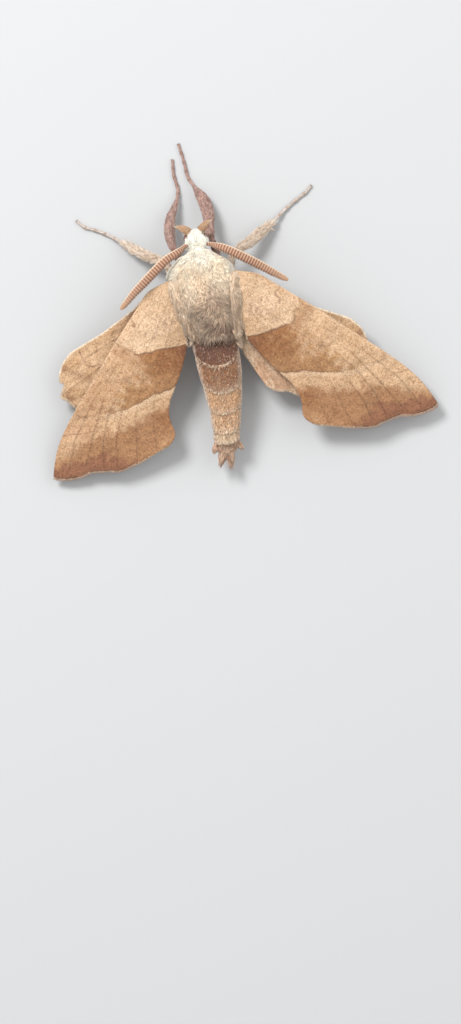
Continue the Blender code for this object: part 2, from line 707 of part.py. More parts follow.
def make_forewing(side):
    root = root_line(side, FOREWING_ROOT_Y, SHOULDER_Z)
    return wing_sheet(
        side,
        [root[0], *forewing_plan(side, FOREWING_COSTA)],
        [root[-1], *forewing_plan(side, FOREWING_INNER)],
        root,
        forewing_plan(side, FOREWING_TERMEN),
        FOREWING_VEINS, FOREWING_ROWS, FOREWING_ARCH, 0.0,
    )


def make_hindwing(side):
    root = root_line(side, HINDWING_ROOT_Y, SHOULDER_Z - HINDWING_BELOW)
    return wing_sheet(
        side,
        [root[0], *hindwing_plan(side, HINDWING_COSTA)],
        [root[-1], *hindwing_plan(side, HINDWING_INNER)],
        root,
        hindwing_plan(side, HINDWING_TERMEN),
        HINDWING_VEINS, HINDWING_ROWS, 0.0, HINDWING_BELOW,
    )


def clear_scene():
    for thing in list(bpy.data.objects):
        bpy.data.objects.remove(thing)


def settle(carrier, parts):
    """Brings the middle of the footprint, on the floor, to the origin."""
    bpy.context.view_layer.update()
    corners = [part.matrix_world @ Vector(c) for part in parts for c in part.bound_box]
    low = Vector([min(c[i] for c in corners) for i in range(3)])
    high = Vector([max(c[i] for c in corners) for i in range(3)])
    carrier.location = (-(low.x + high.x) / 2, -(low.y + high.y) / 2, -low.z)


def main():
    clear_scene()
    carrier = bpy.data.objects.new("moth", None)
    bpy.context.scene.collection.objects.link(carrier)
    parts = [
        make_object("thorax", make_thorax(), "fur", carrier),
        make_object("abdomen", make_abdomen(), "abdomen", carrier),
        make_object("tail_tuft", make_tail_tuft(), "abdomen", carrier),
        make_object("head", make_head(), "fur", carrier),
    ]
    for side, sign in SIDES.items():
        parts += [
            make_object(f"eye_{side}", eye_shape(sign), "eye", carrier),
            make_object(f"forewing_{side}", make_forewing(side), "wing", carrier),
            make_object(f"hindwing_{side}", make_hindwing(side), "wing", carrier),
            make_object(f"antenna_{side}", make_antenna(side), "antenna", carrier),
            make_object(f"palp_{side}", make_palp(side), "palp", carrier),
        ]
    for name, leg in LEGS.items():
        colour = "foreleg" if name.startswith("fore") else "leg"
        parts += [
            make_object(f"thigh_{name}", make_thigh(leg), colour, carrier),
            make_object(f"shin_{name}", make_shin(leg), colour, carrier),
            make_object(f"foot_{name}", make_toes(leg), colour, carrier),
        ]
    settle(carrier, parts)


main()
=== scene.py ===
"""The looks of a resting walnut sphinx moth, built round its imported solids.

Lengths are in millimetres, in the moth's own axes: x = 0 runs near the middle of its body, +Y is
the head, +X its right side, +Z up and z = 0 the floor. in_frame() turns them into the frame's
metres. Colours are given as a screen shows them, from 0 to 255; linear() turns them into light.
"""

import math

import bpy
import numpy as np
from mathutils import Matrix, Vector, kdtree
from mathutils.bvhtree import BVHTree


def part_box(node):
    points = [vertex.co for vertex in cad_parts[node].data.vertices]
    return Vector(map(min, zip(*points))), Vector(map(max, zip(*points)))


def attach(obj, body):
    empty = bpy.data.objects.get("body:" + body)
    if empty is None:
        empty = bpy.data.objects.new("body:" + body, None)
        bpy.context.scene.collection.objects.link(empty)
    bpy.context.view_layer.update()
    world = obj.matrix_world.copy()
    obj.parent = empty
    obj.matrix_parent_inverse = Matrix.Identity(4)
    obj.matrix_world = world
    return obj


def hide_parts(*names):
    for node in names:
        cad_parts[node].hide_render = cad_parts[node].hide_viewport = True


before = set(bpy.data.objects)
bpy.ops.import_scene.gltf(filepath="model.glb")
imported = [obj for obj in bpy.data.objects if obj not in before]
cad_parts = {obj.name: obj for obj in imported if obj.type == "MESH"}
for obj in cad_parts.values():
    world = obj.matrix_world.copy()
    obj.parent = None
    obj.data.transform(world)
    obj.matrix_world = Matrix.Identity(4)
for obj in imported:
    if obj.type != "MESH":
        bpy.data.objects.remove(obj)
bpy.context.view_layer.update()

MM = 0.001
SIDES = {"left": -1, "right": 1}
UP = np.array([0.0, 0.0, 1.0])

# Body, close to the solids: pairs are a place along the body (y) and the value there.
THORAX_ENDS = (10.9, 0.9)
THORAX_MIDDLE_X = -0.15
THORAX_AXIS_X = ((10.9, -0.15), (5.0, -0.1), (0.9, 0.3))
THORAX_Z = 5.2
THORAX_HALF_HEIGHT = 3.3
THORAX_END_HEIGHT_SHARE = 0.3
THORAX_FULL_HEIGHT_WIDTH = 3.75
THORAX_HALF_WIDTHS = (
    (10.9, 0.95), (10.4, 1.65), (9.7, 2.5), (9.0, 3.25), (8.2, 3.75), (7.0, 3.95), (6.0, 3.8),
    (5.0, 3.55), (4.0, 3.25), (3.0, 3.0), (2.0, 2.8), (0.9, 2.5),
)
ABDOMEN_AXIS_X = ((0.6, 0.36), (-2.8, 0.42), (-5.3, 0.52), (-8.8, 0.43), (-11.7, 0.15), (-12.9, 0.0))
ABDOMEN_AXIS_Z = ((0.6, 4.9), (-12.9, 2.7))
ABDOMEN_HEIGHT_SHARE = 0.92
ABDOMEN_ENDS = (1.8, -12.5)
ABDOMEN_FRONT = (0.6, 2.75)
ABDOMEN_SPLIT = -5.5
# Each segment's rear edge: its place, its half width and how far it lags over the back.
ABDOMEN_SEGMENTS = (
    (-0.4, 2.9, 3.2), (-4.4, 2.6, 2.1), (-7.7, 2.1, 1.3), (-10.5, 1.76, 0.8), (-12.1, 1.62, 0.3),
)
ABDOMEN_LAST_ROW = (-12.5, 1.2, 0.1)
SEGMENT_ROW_COUNT = 10
SEGMENT_STEP = 0.14
SEGMENT_OVERLAP = 0.03
SEGMENT_SWELL = 0.07
TAIL_ENDS = (-12.0, -14.3)
TAIL_HALF_WIDTHS = ((-12.0, 1.3), (-12.75, 1.3), (-13.3, 1.0), (-13.9, 0.6), (-14.3, 0.25))
TAIL_HALF_HEIGHT = 0.65
TAIL_Z = ((-12.4, 2.75), (-16.0, 2.0))
# Locks of the tail: root and tip in plan, and width.
TAIL_TUFTS = (
    ((1.0, -12.2), (1.95, -13.55), 0.7), ((-0.95, -12.2), (-1.75, -13.6), 0.7),
    ((-0.3, -12.7), (-1.15, -15.4), 0.9), ((0.35, -12.7), (0.15, -15.8), 0.9),
    ((0.05, -12.4), (-0.35, -14.6), 1.5),
)
HEAD_ENDS = (13.0, 10.6)
HEAD_X = -0.24
HEAD_Z = 5.3
HEAD_HEIGHT_SHARE = 0.95
HEAD_HALF_WIDTHS = ((10.6, 0.9), (11.2, 1.15), (11.7, 1.28), (12.2, 1.15), (12.7, 0.85), (13.0, 0.5))
EYE_OUT = 1.2
EYE_Y = 12.4
EYE_Z = 4.95
EYE_RADII = (0.28, 0.52, 0.52)
PALPS = {
    "left": ((-0.4, 12.6, 4.9), (-1.2, 13.38, 5.25), (-1.85, 13.8, 5.4), (-2.4, 14.02, 5.5)),
    "right": ((-0.05, 12.6, 4.9), (0.7, 13.45, 5.3), (1.3, 13.93, 5.5), (1.8, 14.18, 5.6)),
}
PALP_HALF_WIDTHS = ((0.0, 0.42), (0.4, 0.46), (0.7, 0.34), (1.0, 0.08))
PALP_HEIGHT_SHARE = 0.8
COAT_DEPTH = 0.14

# Legs, close to the solids: hip by its place along the body and angle below the flank, then points.
LEGS = {
    "fore_left": {
        "hip": (9.9, -48), "knee": (-3.05, 11.35, 3.4),
        "shin": ((-3.27, 13.3, 2.6), (-2.9, 15.3, 1.7), (-1.9, 17.3, 0.9)),
        "shin_half_widths": (0.45, 0.74, 0.66, 0.26),
        "toes": ((-1.55, 18.8, 0.3), (-1.8, 20.5, 0.22), (-1.72, 22.4, 0.2)),
    },
    "fore_right": {
        "hip": (9.9, -48), "knee": (1.7, 11.9, 3.4),
        "shin": ((1.58, 13.6, 2.7), (1.68, 15.2, 2.0), (1.35, 16.9, 1.4), (0.5, 18.7, 0.9)),
        "shin_half_widths": (0.38, 0.66, 0.86, 0.84, 0.3),
        "toes": ((-0.15, 20.1, 0.3), (-0.3, 21.5, 0.22), (-0.5, 22.9, 0.2), (-0.75, 24.2, 0.2)),
    },
    "mid_left": {
        "hip": (8.1, -42), "knee": (-4.2, 10.15, 3.2),
        "shin": ((-5.9, 10.95, 2.5), (-7.4, 12.0, 1.7), (-8.95, 13.15, 0.9)),
        "shin_half_widths": (0.32, 0.58, 0.6, 0.3),
        "toes": ((-10.5, 14.35, 0.3), (-12.0, 15.2, 0.22), (-13.4, 15.85, 0.2), (-14.2, 16.7, 0.2)),
    },
    "mid_right": {
        "hip": (8.1, -42), "knee": (3.95, 10.2, 3.2),
        "shin": ((5.9, 11.05, 2.5), (7.4, 12.0, 1.7), (9.15, 13.15, 0.9)),
        "shin_half_widths": (0.32, 0.6, 0.66, 0.34),
        "toes": ((11.0, 14.6, 0.3), (12.6, 15.65, 0.22), (13.8, 16.35, 0.2), (14.5, 17.0, 0.2)),
    },
}
HIND_LEG = {
    "knee": (5.2, 2.6, 3.0), "shin": ((6.5, 0.7, 2.1), (7.6, -0.9, 1.4), (8.6, -2.4, 0.9)),
    "toes": ((9.5, -4.1, 0.3), (10.2, -5.6, 0.22), (11.0, -7.1, 0.2)),
}
# Spurs at the ends of the shins: root and tip.
SPURS = [
    ((-7.75, 12.5, 1.6), (-8.1, 13.65, 1.5)), ((-8.6, 12.5, 1.2), (-9.3, 12.35, 0.9)),
    ((8.7, 12.6, 1.3), (9.6, 12.0, 1.2)), ((8.2, 12.8, 1.4), (8.5, 13.6, 1.2)),
]
HIND_SPURS = (((8.3, -1.9, 1.1), (9.2, -2.4, 0.8)), ((8.1, -2.0, 1.1), (8.1, -3.0, 0.8)))
for side, sign in SIDES.items():
    mirror = (sign, 1, 1)
    hind = {key: np.array(points) * mirror for key, points in HIND_LEG.items()}
    LEGS[f"hind_{side}"] = {"hip": (5.2, -48), "shin_half_widths": (0.32, 0.5, 0.5, 0.3), **hind}
    SPURS += [np.array(spur) * mirror for spur in HIND_SPURS]
THIGH_RADII = (0.34, 0.4, 0.4, 0.3)
# How far a thigh runs out of the flank, and on to the knee, before it bends.
HIP_OUT = 0.7
HIP_TO_KNEE = 0.4
SHIN_SKIN_SHARE = 0.84
SHIN_HEIGHT_SHARE = 0.75
TOE_RADII = ((0.0, 0.2), (0.9, 0.16), (1.0, 0.1))
TOE_JOINTS = 5
TOE_SWELL = 0.12

# The skin: points along and round its body and limb tubes, and the size of its cells.
BODY_GRID = (120, 96)
LIMB_GRID = (60, 20)
VOXEL = 0.096

# Wings, close to the solids. A mark is a place by the wing's own axes: out from the hinge, as a
# share of its reach on a forewing and in millimetres on a hindwing, and then across, which is
# millimetres back on a forewing and forward on a hindwing.
SHOULDER_Z = 6.4
DROOP_POWER = 1.3
ARCH_AT_ROOT = 0.15
TIP_DROP = {"left": 5.2, "right": 4.6}
WINGS = {
    "forewing": {
        "hinge": {"left": (4.2, 7.0), "right": (3.8, 7.0)}, "turn": {"left": -50.7, "right": -39.8},
        "reach": {"left": 27.0, "right": 28.94}, "across": -1, "mark_mm": 28.0,
        "grid": (240, 96), "arch": 0.55, "below": 0.0, "root_y": (8.1, 4.3),
        "costa": (
            (0.06, -1.72), (0.14, -1.93), (0.23, -2.0), (0.33, -2.06), (0.45, -2.05), (0.58, -2.03),
            (0.69, -2.0), (0.79, -1.85), (0.88, -1.4), (0.955, -0.62), (1.0, 0.0),
        ),
        "termen": (
            (1.0, 0.0), (0.985, 1.1), (0.935, 2.75), (0.89, 3.65), (0.842, 5.4), (0.82, 6.4), (0.75, 7.8),
            (0.672, 8.95), (0.61, 9.85), (0.577, 10.0),
        ),
        "inner": (
            (0.118, 4.2), (0.165, 5.3), (0.195, 5.65), (0.28, 6.4), (0.365, 6.87), (0.43, 7.2), (0.48, 7.85),
            (0.508, 8.55), (0.54, 9.7), (0.577, 10.0),
        ),
        "veins": (
            ((0.10, 2.2), (0.36, 4.2), (0.525, 6.2), (0.642, 8.72)),
            ((0.38, 2.6), (0.567, 4.54), (0.716, 7.2)),
            ((0.44, 1.6), (0.585, 2.82), (0.715, 4.22), (0.79, 5.63)),
            ((0.45, 0.9), (0.63, 1.7), (0.75, 2.9), (0.835, 4.4)),
            ((0.45, 0.2), (0.571, 0.2), (0.729, 1.28), (0.868, 2.5)),
            ((0.44, -0.6), (0.62, -0.77), (0.8, -0.2), (0.93, 1.0)),
            ((0.08, -0.6), (0.28, -0.8), (0.44, -0.6)),
            ((0.08, 0.9), (0.25, 1.5), (0.44, 1.6)),
            ((0.30, -1.1), (0.6, -1.45), (0.8, -1.2), (0.9, -0.7)),
            ((0.06, 3.0), (0.13, 5.0)),
        ),
    },
    "hindwing": {
        "hinge": {"left": (3.9, 5.5), "right": (3.9, 5.5)}, "turn": {"left": 0.0, "right": -2.6},
        "reach": {"left": 1.0, "right": 1.0}, "across": 1, "mark_mm": 1.0,
        "grid": (150, 120), "arch": 0.0, "below": 1.15, "root_y": (6.8, 3.0),
        "costa": (
            (3.5, 0.5), (5.1, -0.6), (7.1, -1.7), (9.1, -2.8), (11.1, -3.65), (13.1, -4.5), (13.9, -5.2),
            (14.5, -5.9), (14.85, -6.7),
        ),
        "termen": (
            (14.85, -6.7), (15.05, -7.4), (15.0, -8.0), (14.6, -8.4), (14.9, -9.0), (15.2, -9.8),
            (14.4, -10.45), (13.6, -11.4), (12.3, -12.8), (10.6, -13.8), (8.4, -13.9), (6.2, -13.43),
            (5.0, -12.79), (3.47, -12.56), (2.44, -11.9),
        ),
        "inner": ((-0.25, -5.0), (-0.06, -7.4), (0.49, -8.5), (1.58, -10.44), (2.44, -11.9)),
        "veins": (
            ((1.0, -0.8), (6.0, -3.0), (11.0, -5.2), (14.7, -6.9)),
            ((1.0, -1.6), (6.0, -4.6), (11.5, -7.6), (14.8, -9.4)),
            ((1.0, -2.2), (5.5, -6.0), (9.5, -9.2), (12.8, -12.2)),
            ((0.9, -2.8), (4.4, -7.2), (7.4, -10.8), (9.3, -13.7)),
            ((0.7, -3.4), (2.6, -8.0), (4.6, -11.4), (5.6, -13.0)),
            ((0.4, -3.6), (1.2, -8.0), (2.6, -11.4)),
        ),
    },
}
# The first veins of a forewing show as dark lines, and the rest only as relief.
SHOWN_VEINS = 8
VEIN_HEIGHT = 0.07
VEIN_SPREAD = 0.11
WING_ROOT_DEPTH = 0.9
WING_HALF_THICKNESS = 0.11
WING_EDGE_HALF_THICKNESS = 0.05
FRINGE_INSET = 0.012
FRINGE_SPACING = 0.045
FRINGE_ROOT = 0.36
# Edges with a fringe: wing, edge, which way it is read, length of the scales and how pale they are.
FRINGES = (
    ("forewing", "termen", 1, 0.4, 0.3), ("forewing", "inner", -1, 0.4, 0.1),
    ("hindwing", "termen", 1, 0.36, 0.4), ("hindwing", "inner", -1, 0.3, 0.4),
)

# Lines that cross the forewing, as (back, share) pairs, and lines on the hindwing, as marks.
ANTEMEDIAL = {
    "left": (
        (-2.2, 0.325), (-1.4, 0.334), (0.74, 0.332), (1.64, 0.314), (2.84, 0.263), (5.27, 0.18), (6.5, 0.15),
    ),
    "right": (
        (-2.2, 0.27), (-1.02, 0.285), (1.2, 0.295), (2.53, 0.262), (3.97, 0.213), (5.27, 0.17), (6.5, 0.14),
    ),
}
POSTMEDIAL = (
    (-2.2, 0.70), (-0.87, 0.695), (1.3, 0.631), (3.4, 0.556), (4.2, 0.506), (5.2, 0.442), (6.7, 0.363),
    (7.5, 0.33),
)
OUTER_SHADE = (
    (-2.2, 1.0), (-1.0, 0.94), (-0.2, 0.87), (1.2, 0.78), (3.0, 0.69), (4.0, 0.645), (5.95, 0.563),
    (6.5, 0.52), (7.5, 0.46), (9.0, 0.42),
)
APEX_SHADE = (
    (-1.0, 0.985), (-0.2, 0.947), (1.24, 0.877), (2.84, 0.81), (5.5, 0.753), (7.6, 0.725), (9.0, 0.70),
)
# How much darker each forewing is near its costa beyond its first third; only the left one is darker.
COSTAL_SHADE = {"left": 0.45, "right": 0.0}
HINDWING_LINE = (
    (12.1, -4.6), (11.8, -5.6), (11.4, -6.4), (10.7, -6.6), (9.8, -6.5), (8.6, -7.5), (7.0, -9.0),
)
HINDWING_CLOUD = ((14.0, -6.6), (11.2, -8.2), (8.4, -11.0))

# Antennae, close to the solids, and their combs.
ANTENNA_LINE = {
    "left": (
        (-1.25, 11.55, 5.9), (-1.75, 11.45, 6.4), (-2.5, 10.9, 7.3), (-4.0, 10.15, 7.8), (-5.45, 9.1, 7.9),
        (-6.95, 7.9, 7.7), (-8.45, 6.75, 7.2), (-9.55, 5.75, 6.7), (-10.3, 5.1, 6.3),
    ),
    "right": (
        (1.0, 11.45, 5.9), (1.5, 11.3, 6.4), (2.1, 11.0, 7.2), (3.0, 10.55, 7.7), (4.2, 9.8, 7.9),
        (5.4, 9.0, 7.8), (6.6, 8.2, 7.5), (8.0, 7.2, 7.1), (9.2, 6.35, 6.6), (10.0, 5.8, 6.3),
    ),
}
ANTENNA_WIDTHS = (
    (0.0, 0.25), (0.1, 0.34), (0.2, 0.5), (0.42, 0.6), (0.66, 0.58), (0.85, 0.46), (0.95, 0.36), (1.0, 0.2),
)
ANTENNA_JOINTS = 34
SHAFT_SHARE = 0.86
SHAFT_SHIFT = (1 - SHAFT_SHARE) * 0.6
SHAFT_ROWS_EACH_JOINT = 9
SHAFT_COLUMNS = 28
# How far the comb reaches behind (-1) and ahead (1), as a share of the shaft's half width.
COMB_REACH = {-1: 0.42, 1: 0.24}

# Hair over the wings' roots.
WING_HAIR_LEAN = {"left": 0.25, "right": 0.04}
WING_HAIR_INSET = {"left": 0.8, "right": 0.6}
BRIDGE_LENGTH = {"left": 0.9, "right": 1.6}

# Colours. A surface that shows as pure white sends back WHITE_SHARE of its light.
WHITE_SHARE = 0.64
PURE_WHITE = (255, 251, 238)
WHITE = (253, 243, 224)
CREAM = (250, 228, 196)
PALE_BUFF = (236, 206, 174)
BUFF = (226, 189, 152)
TAN = (206, 165, 122)
OUTER_TAN = (178, 129, 88)
OLIVE_BROWN = (156, 101, 56)
OLIVE_GOLD = (184, 138, 80)
RED_BROWN = (136, 87, 58)
APEX_BROWN = (147, 96, 69)
BROWN = (140, 96, 66)
DARK_BROWN = (98, 63, 43)
PURPLE_BROWN = (112, 73, 58)
PINK_TAN = (214, 172, 140)
GREY = (174, 140, 114)
GOLD = (214, 162, 110)
MAUVE = (190, 152, 140)
ORANGE_TAN = (212, 164, 122)
PINK_CREAM = (246, 222, 200)
COMB_BROWN = (142, 94, 72)
COMB_TAN = (206, 166, 136)
ASH = (222, 208, 198)
EYE_COLOUR = (74, 44, 34)
UNDERSIDE = (204, 158, 122)
GRAIN_TINT = (0.8, 1.0, 1.2)
FACET = 0.045
FACET_COLOURS = ((0.2, 0.085, 0.045, 1), (0.06, 0.025, 0.015, 1))
# The abdomen's segments, front to rear: colour, then the strength of the pale band at the rear
# edge, of dark mottling and of light mottling.
SEGMENT_LOOKS = (
    (PURPLE_BROWN, 0.75, 0.15, 0.0), ((168, 108, 64), 0.7, 0.45, 0.22), ((240, 188, 140), 0.7, 0.45, 0.4),
    ((245, 196, 152), 0.6, 0.45, 0.4), ((255, 224, 186), 0.4, 0.35, 0.4),
)
BAND_WIDTH = 0.2
# Hairs of the comb: kind, how many at each joint, width, colour and length as a share of the reach.
COMB_HAIRS = (("branch", 1, 0.17, COMB_BROWN, 1.0), ("bristle", 14, 0.045, PALE_BUFF, 0.95))

# Floor and lamps, in metres. Each lamp has a name, a place, a size and its watts.
FLOOR_SIZE = 1.5
FLOOR_COLOUR = (0.43, 0.434, 0.438, 1)
SKY_LIGHT = 0.93
LAMPS = (("key", (-0.17, 0.27, 0.38), 0.16, 2.75), ("fill", (0.35, 0.1, 0.35), 0.4, 0.6))
# Camera, in millimetres and degrees.
CAMERA_AT = (-3.04, -25.01)
CAMERA_HEIGHT = 600.0
CAMERA_ROLL = -8.0
VIEW_HEIGHT = 122.88
SUBJECT_Z = 5.0
SENSOR = 36.0


def linear(colour):
    """Light for a colour as a screen shows it."""
    share = np.array(colour, float) / 255
    return WHITE_SHARE * np.where(share <= 0.04045, share / 12.92, ((share + 0.055) / 1.055) ** 2.4)


def unit(ways):
    return ways / np.maximum(np.linalg.norm(ways, axis=-1, keepdims=True), 1e-9)


def ramp(values, low, high):
    """0 below low, 1 above high, and smooth between."""
    t = np.clip((values - low) / (high - low), 0, 1)
    return t * t * (3 - 2 * t)


def fall(values, low, high):
    """1 below low, 0 above high, and smooth between."""
    return ramp(-values, -high, -low)


def hump(values, middle, spread):
    return np.exp(-(((values - middle) / spread) ** 2))


def painted(count, first, layers=()):
    """Colours made by laying each (colour, share) layer over the first one."""
    made = np.tile(linear(first), (count, 1))
    for colour, share in layers:
        made += (linear(colour) - made) * np.clip(share, 0, 1)[:, None]
    return made


def ripple(places, size, seed):
    """Smooth random values, mostly from -1 to 1, that change over about size millimetres."""
    draw = np.random.default_rng(seed)
    total = np.zeros(len(places))
    for _ in range(10):
        way = unit(draw.normal(size=places.shape[1])) * 2 * np.pi / (size * draw.uniform(0.7, 1.5))
        total += np.sin(places @ way + draw.uniform(0, 2 * np.pi))
    return total / 5 ** 0.5


def distance_to(places, line):
    """How far each place is from a line of points."""
    line = np.array(line, float)
    best = np.full(len(places), np.inf)
    for a, b in zip(line, line[1:]):
        step = b - a
        t = np.clip((places - a) @ step / (step @ step), 0, 1)
        best = np.minimum(best, np.linalg.norm(places - a - t[:, None] * step, axis=1))
    return best


class Path:
    """A smooth line through a few points, read by its share of length."""

    def __init__(self, points, steps=12):
        given = np.array(points, float)
        padded = np.vstack([2 * given[0] - given[1], given, 2 * given[-1] - given[-2]])
        t = (np.arange(1, steps + 1) / steps)[:, None]
        line = [given[:1]]
        for a, b, c, d in zip(padded, padded[1:], padded[2:], padded[3:]):
            curve = 2 * b + (c - a) * t + (2 * a - 5 * b + 4 * c - d) * t * t
            line.append(0.5 * (curve + (3 * b - a - 3 * c + d) * t ** 3))
        self.line = np.vstack(line)
        gaps = np.linalg.norm(np.diff(self.line, axis=0), axis=1)
        self.lengths = np.concatenate([[0.0], np.cumsum(gaps)]) / gaps.sum()

    def at(self, shares):
        shares = np.clip(shares, 0, 1)
        return np.stack([np.interp(shares, self.lengths, column) for column in self.line.T], axis=-1)

    def direction(self, shares, step=0.01):
        return unit(self.at(shares + step) - self.at(shares - step))


def smooth_table(table):
    """A function that reads pairs of key and value along a smooth curve through them."""
    line = Path(sorted(table)).line
    return lambda keys: np.interp(keys, line[:, 0], line[:, 1])


def steady(value):
    return lambda keys: value + 0 * keys


def even_table(values):
    return tuple((i / (len(values) - 1), value) for i, value in enumerate(values))


thorax_x, thorax_width = smooth_table(THORAX_AXIS_X), smooth_table(THORAX_HALF_WIDTHS)
abdomen_x, abdomen_z = smooth_table(ABDOMEN_AXIS_X), smooth_table(ABDOMEN_AXIS_Z)
low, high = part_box("eye_left")
BODY_AT = np.array([(low.x + high.x) / 2 / MM - HEAD_X + EYE_OUT, (low.y + high.y) / 2 / MM - EYE_Y, 0.0])


def in_frame(points):
    return (points + BODY_AT) * MM


def grid_faces(rows, columns, closed=False):
    """Quads between the points of a grid, row by row; closed joins its last column to its first."""
    i, j = np.meshgrid(np.arange(rows - 1), np.arange(columns if closed else columns - 1), indexing="ij")
    a, b = i * columns + j, i * columns + (j + 1) % columns
    return np.stack([a, b, b + columns, a + columns], axis=-1).reshape(-1, 4)


def ring_grid(rows, columns, low=0, high=1):
    """How far along, from low to high, and how far round each point of a closed grid is."""
    around = np.arange(columns) * 2 * np.pi / columns
    return np.repeat(np.linspace(low, high, rows), columns), np.tile(around, rows)


def in_scene(name, data):
    made = bpy.data.objects.new(name, data)
    bpy.context.scene.collection.objects.link(made)
    return made


def make_piece(name, points, faces, colours, material, nodes=()):
    """A mesh of places in millimetres, with a colour at each, that rides on the moth."""
    data = bpy.data.meshes.new(name)
    data.vertices.add(len(points))
    data.vertices.foreach_set("co", in_frame(points).astype(np.float32).ravel())
    data.loops.add(faces.size)
    data.loops.foreach_set("vertex_index", faces.astype(np.int32).ravel())
    data.polygons.add(len(faces))
    data.polygons.foreach_set("loop_start", np.arange(0, faces.size, faces.shape[1], dtype=np.int32))
    data.update(calc_edges=True)
    data.validate()
    data.shade_smooth()
    layer = data.color_attributes.new("markings", "FLOAT_COLOR", "POINT")
    opaque = np.hstack([colours, np.ones((len(colours), 1))])
    layer.data.foreach_set("color", opaque.astype(np.float32).ravel())
    data.materials.append(material)
    piece = in_scene(name, data)
    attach(piece, "root")
    if nodes:
        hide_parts(*nodes)
    return piece


# Materials.


def new_material(name, **settings):
    """A material, its node tree and its shader, with settings such as Sheen_Weight=0.1."""
    material = bpy.data.materials.new(name)
    material.use_nodes = True
    shader = material.node_tree.nodes["Principled BSDF"]
    for key, value in settings.items():
        shader.inputs[key.replace("_", " ")].default_value = value
    return material, material.node_tree, shader


def add_node(tree, kind, values, sources):
    """A node with values at some of its inputs and links from other nodes' outputs to the rest."""
    node = tree.nodes.new("ShaderNode" + kind)
    for key, value in values.items():
        node.inputs[key].default_value = value
    for key, output in sources.items():
        tree.links.new(output, node.inputs[key])
    return node


def add_relief(tree, shader, height, strength, depth, invert=False):
    relief = add_node(tree, "Bump", {"Strength": strength, "Distance": depth * MM}, {"Height": height})
    relief.invert = invert
    tree.links.new(relief.outputs["Normal"], shader.inputs["Normal"])


def marked_material(name, roughness, grains, bump, bump_size, sheen=0.15):
    """A material that reads the marks, grains them and adds a fine relief. Each grain is (size, low,
    high, at_low, at_high): noise of that size, whose values from low to high change the colour by
    shares from at_low to at_high."""
    material, tree, shader = new_material(
        name, Roughness=roughness, Sheen_Weight=sheen, Sheen_Roughness=0.6, Specular_IOR_Level=0.25
    )
    marks = tree.nodes.new("ShaderNodeAttribute")
    marks.attribute_name = "markings"
    place = tree.nodes.new("ShaderNodeTexCoord").outputs["Object"]

    def noise(size):
        values = {"Scale": 1 / (size * MM), "Detail": 3.0}
        return add_node(tree, "TexNoise", values, {"Vector": place}).outputs["Fac"]

    colour = marks.outputs["Color"]
    for size, *ends in grains:
        values = dict(zip(("From Min", "From Max", "To Min", "To Max"), ends))
        change = add_node(tree, "MapRange", values, {"Value": noise(size)})
        tinted = add_node(tree, "VectorMath", {1: GRAIN_TINT, 2: (1, 1, 1)}, {0: change.outputs["Result"]})
        tinted.operation = "MULTIPLY_ADD"
        grained = add_node(tree, "VectorMath", {}, {0: colour, 1: tinted.outputs[0]})
        grained.operation = "MULTIPLY"
        colour = grained.outputs[0]
    tree.links.new(colour, shader.inputs["Base Color"])
    add_relief(tree, shader, noise(bump_size), 0.6, bump)
    return material


def eye_material():
    """Dark glossy facets."""
    material, tree, shader = new_material("eye_facets", Roughness=0.25, Coat_Weight=0.5)
    place = tree.nodes.new("ShaderNodeTexCoord").outputs["Object"]
    cells = add_node(tree, "TexVoronoi", {"Scale": 1 / (FACET * MM)}, {"Vector": place}).outputs["Distance"]
    tint = add_node(tree, "ValToRGB", {}, {"Fac": cells})
    for element, colour in zip(tint.color_ramp.elements, FACET_COLOURS):
        element.color = colour
    tree.links.new(tint.outputs["Color"], shader.inputs["Base Color"])
    add_relief(tree, shader, cells, 0.5, 0.01, invert=True)
    return material


WING_GRAINS = ((0.15, 0.35, 0.65, -0.3, 0.24), (0.26, 0.53, 0.62, 0.0, -0.28), (1.1, 0.3, 0.7, -0.09, 0.07))
WING_SCALES = marked_material("wing_scales", 0.75, WING_GRAINS, 0.06, 0.14)
SKIN = marked_material("short_fur", 0.85, ((0.16, 0.35, 0.65, -0.25, 0.2),), 0.05, 0.12)
HAIR = marked_material("hair_scales", 0.7, ((0.5, 0.3, 0.7, -0.08, 0.08),), 0.01, 0.1, 0.2)
COMB = marked_material("antenna_comb", 0.7, ((0.12, 0.3, 0.7, -0.12, 0.12),), 0.02, 0.06)
HORN = marked_material("claw_horn", 0.35, ((0.2, 0.3, 0.7, -0.1, 0.1),), 0.005, 0.1)


# Body surfaces.


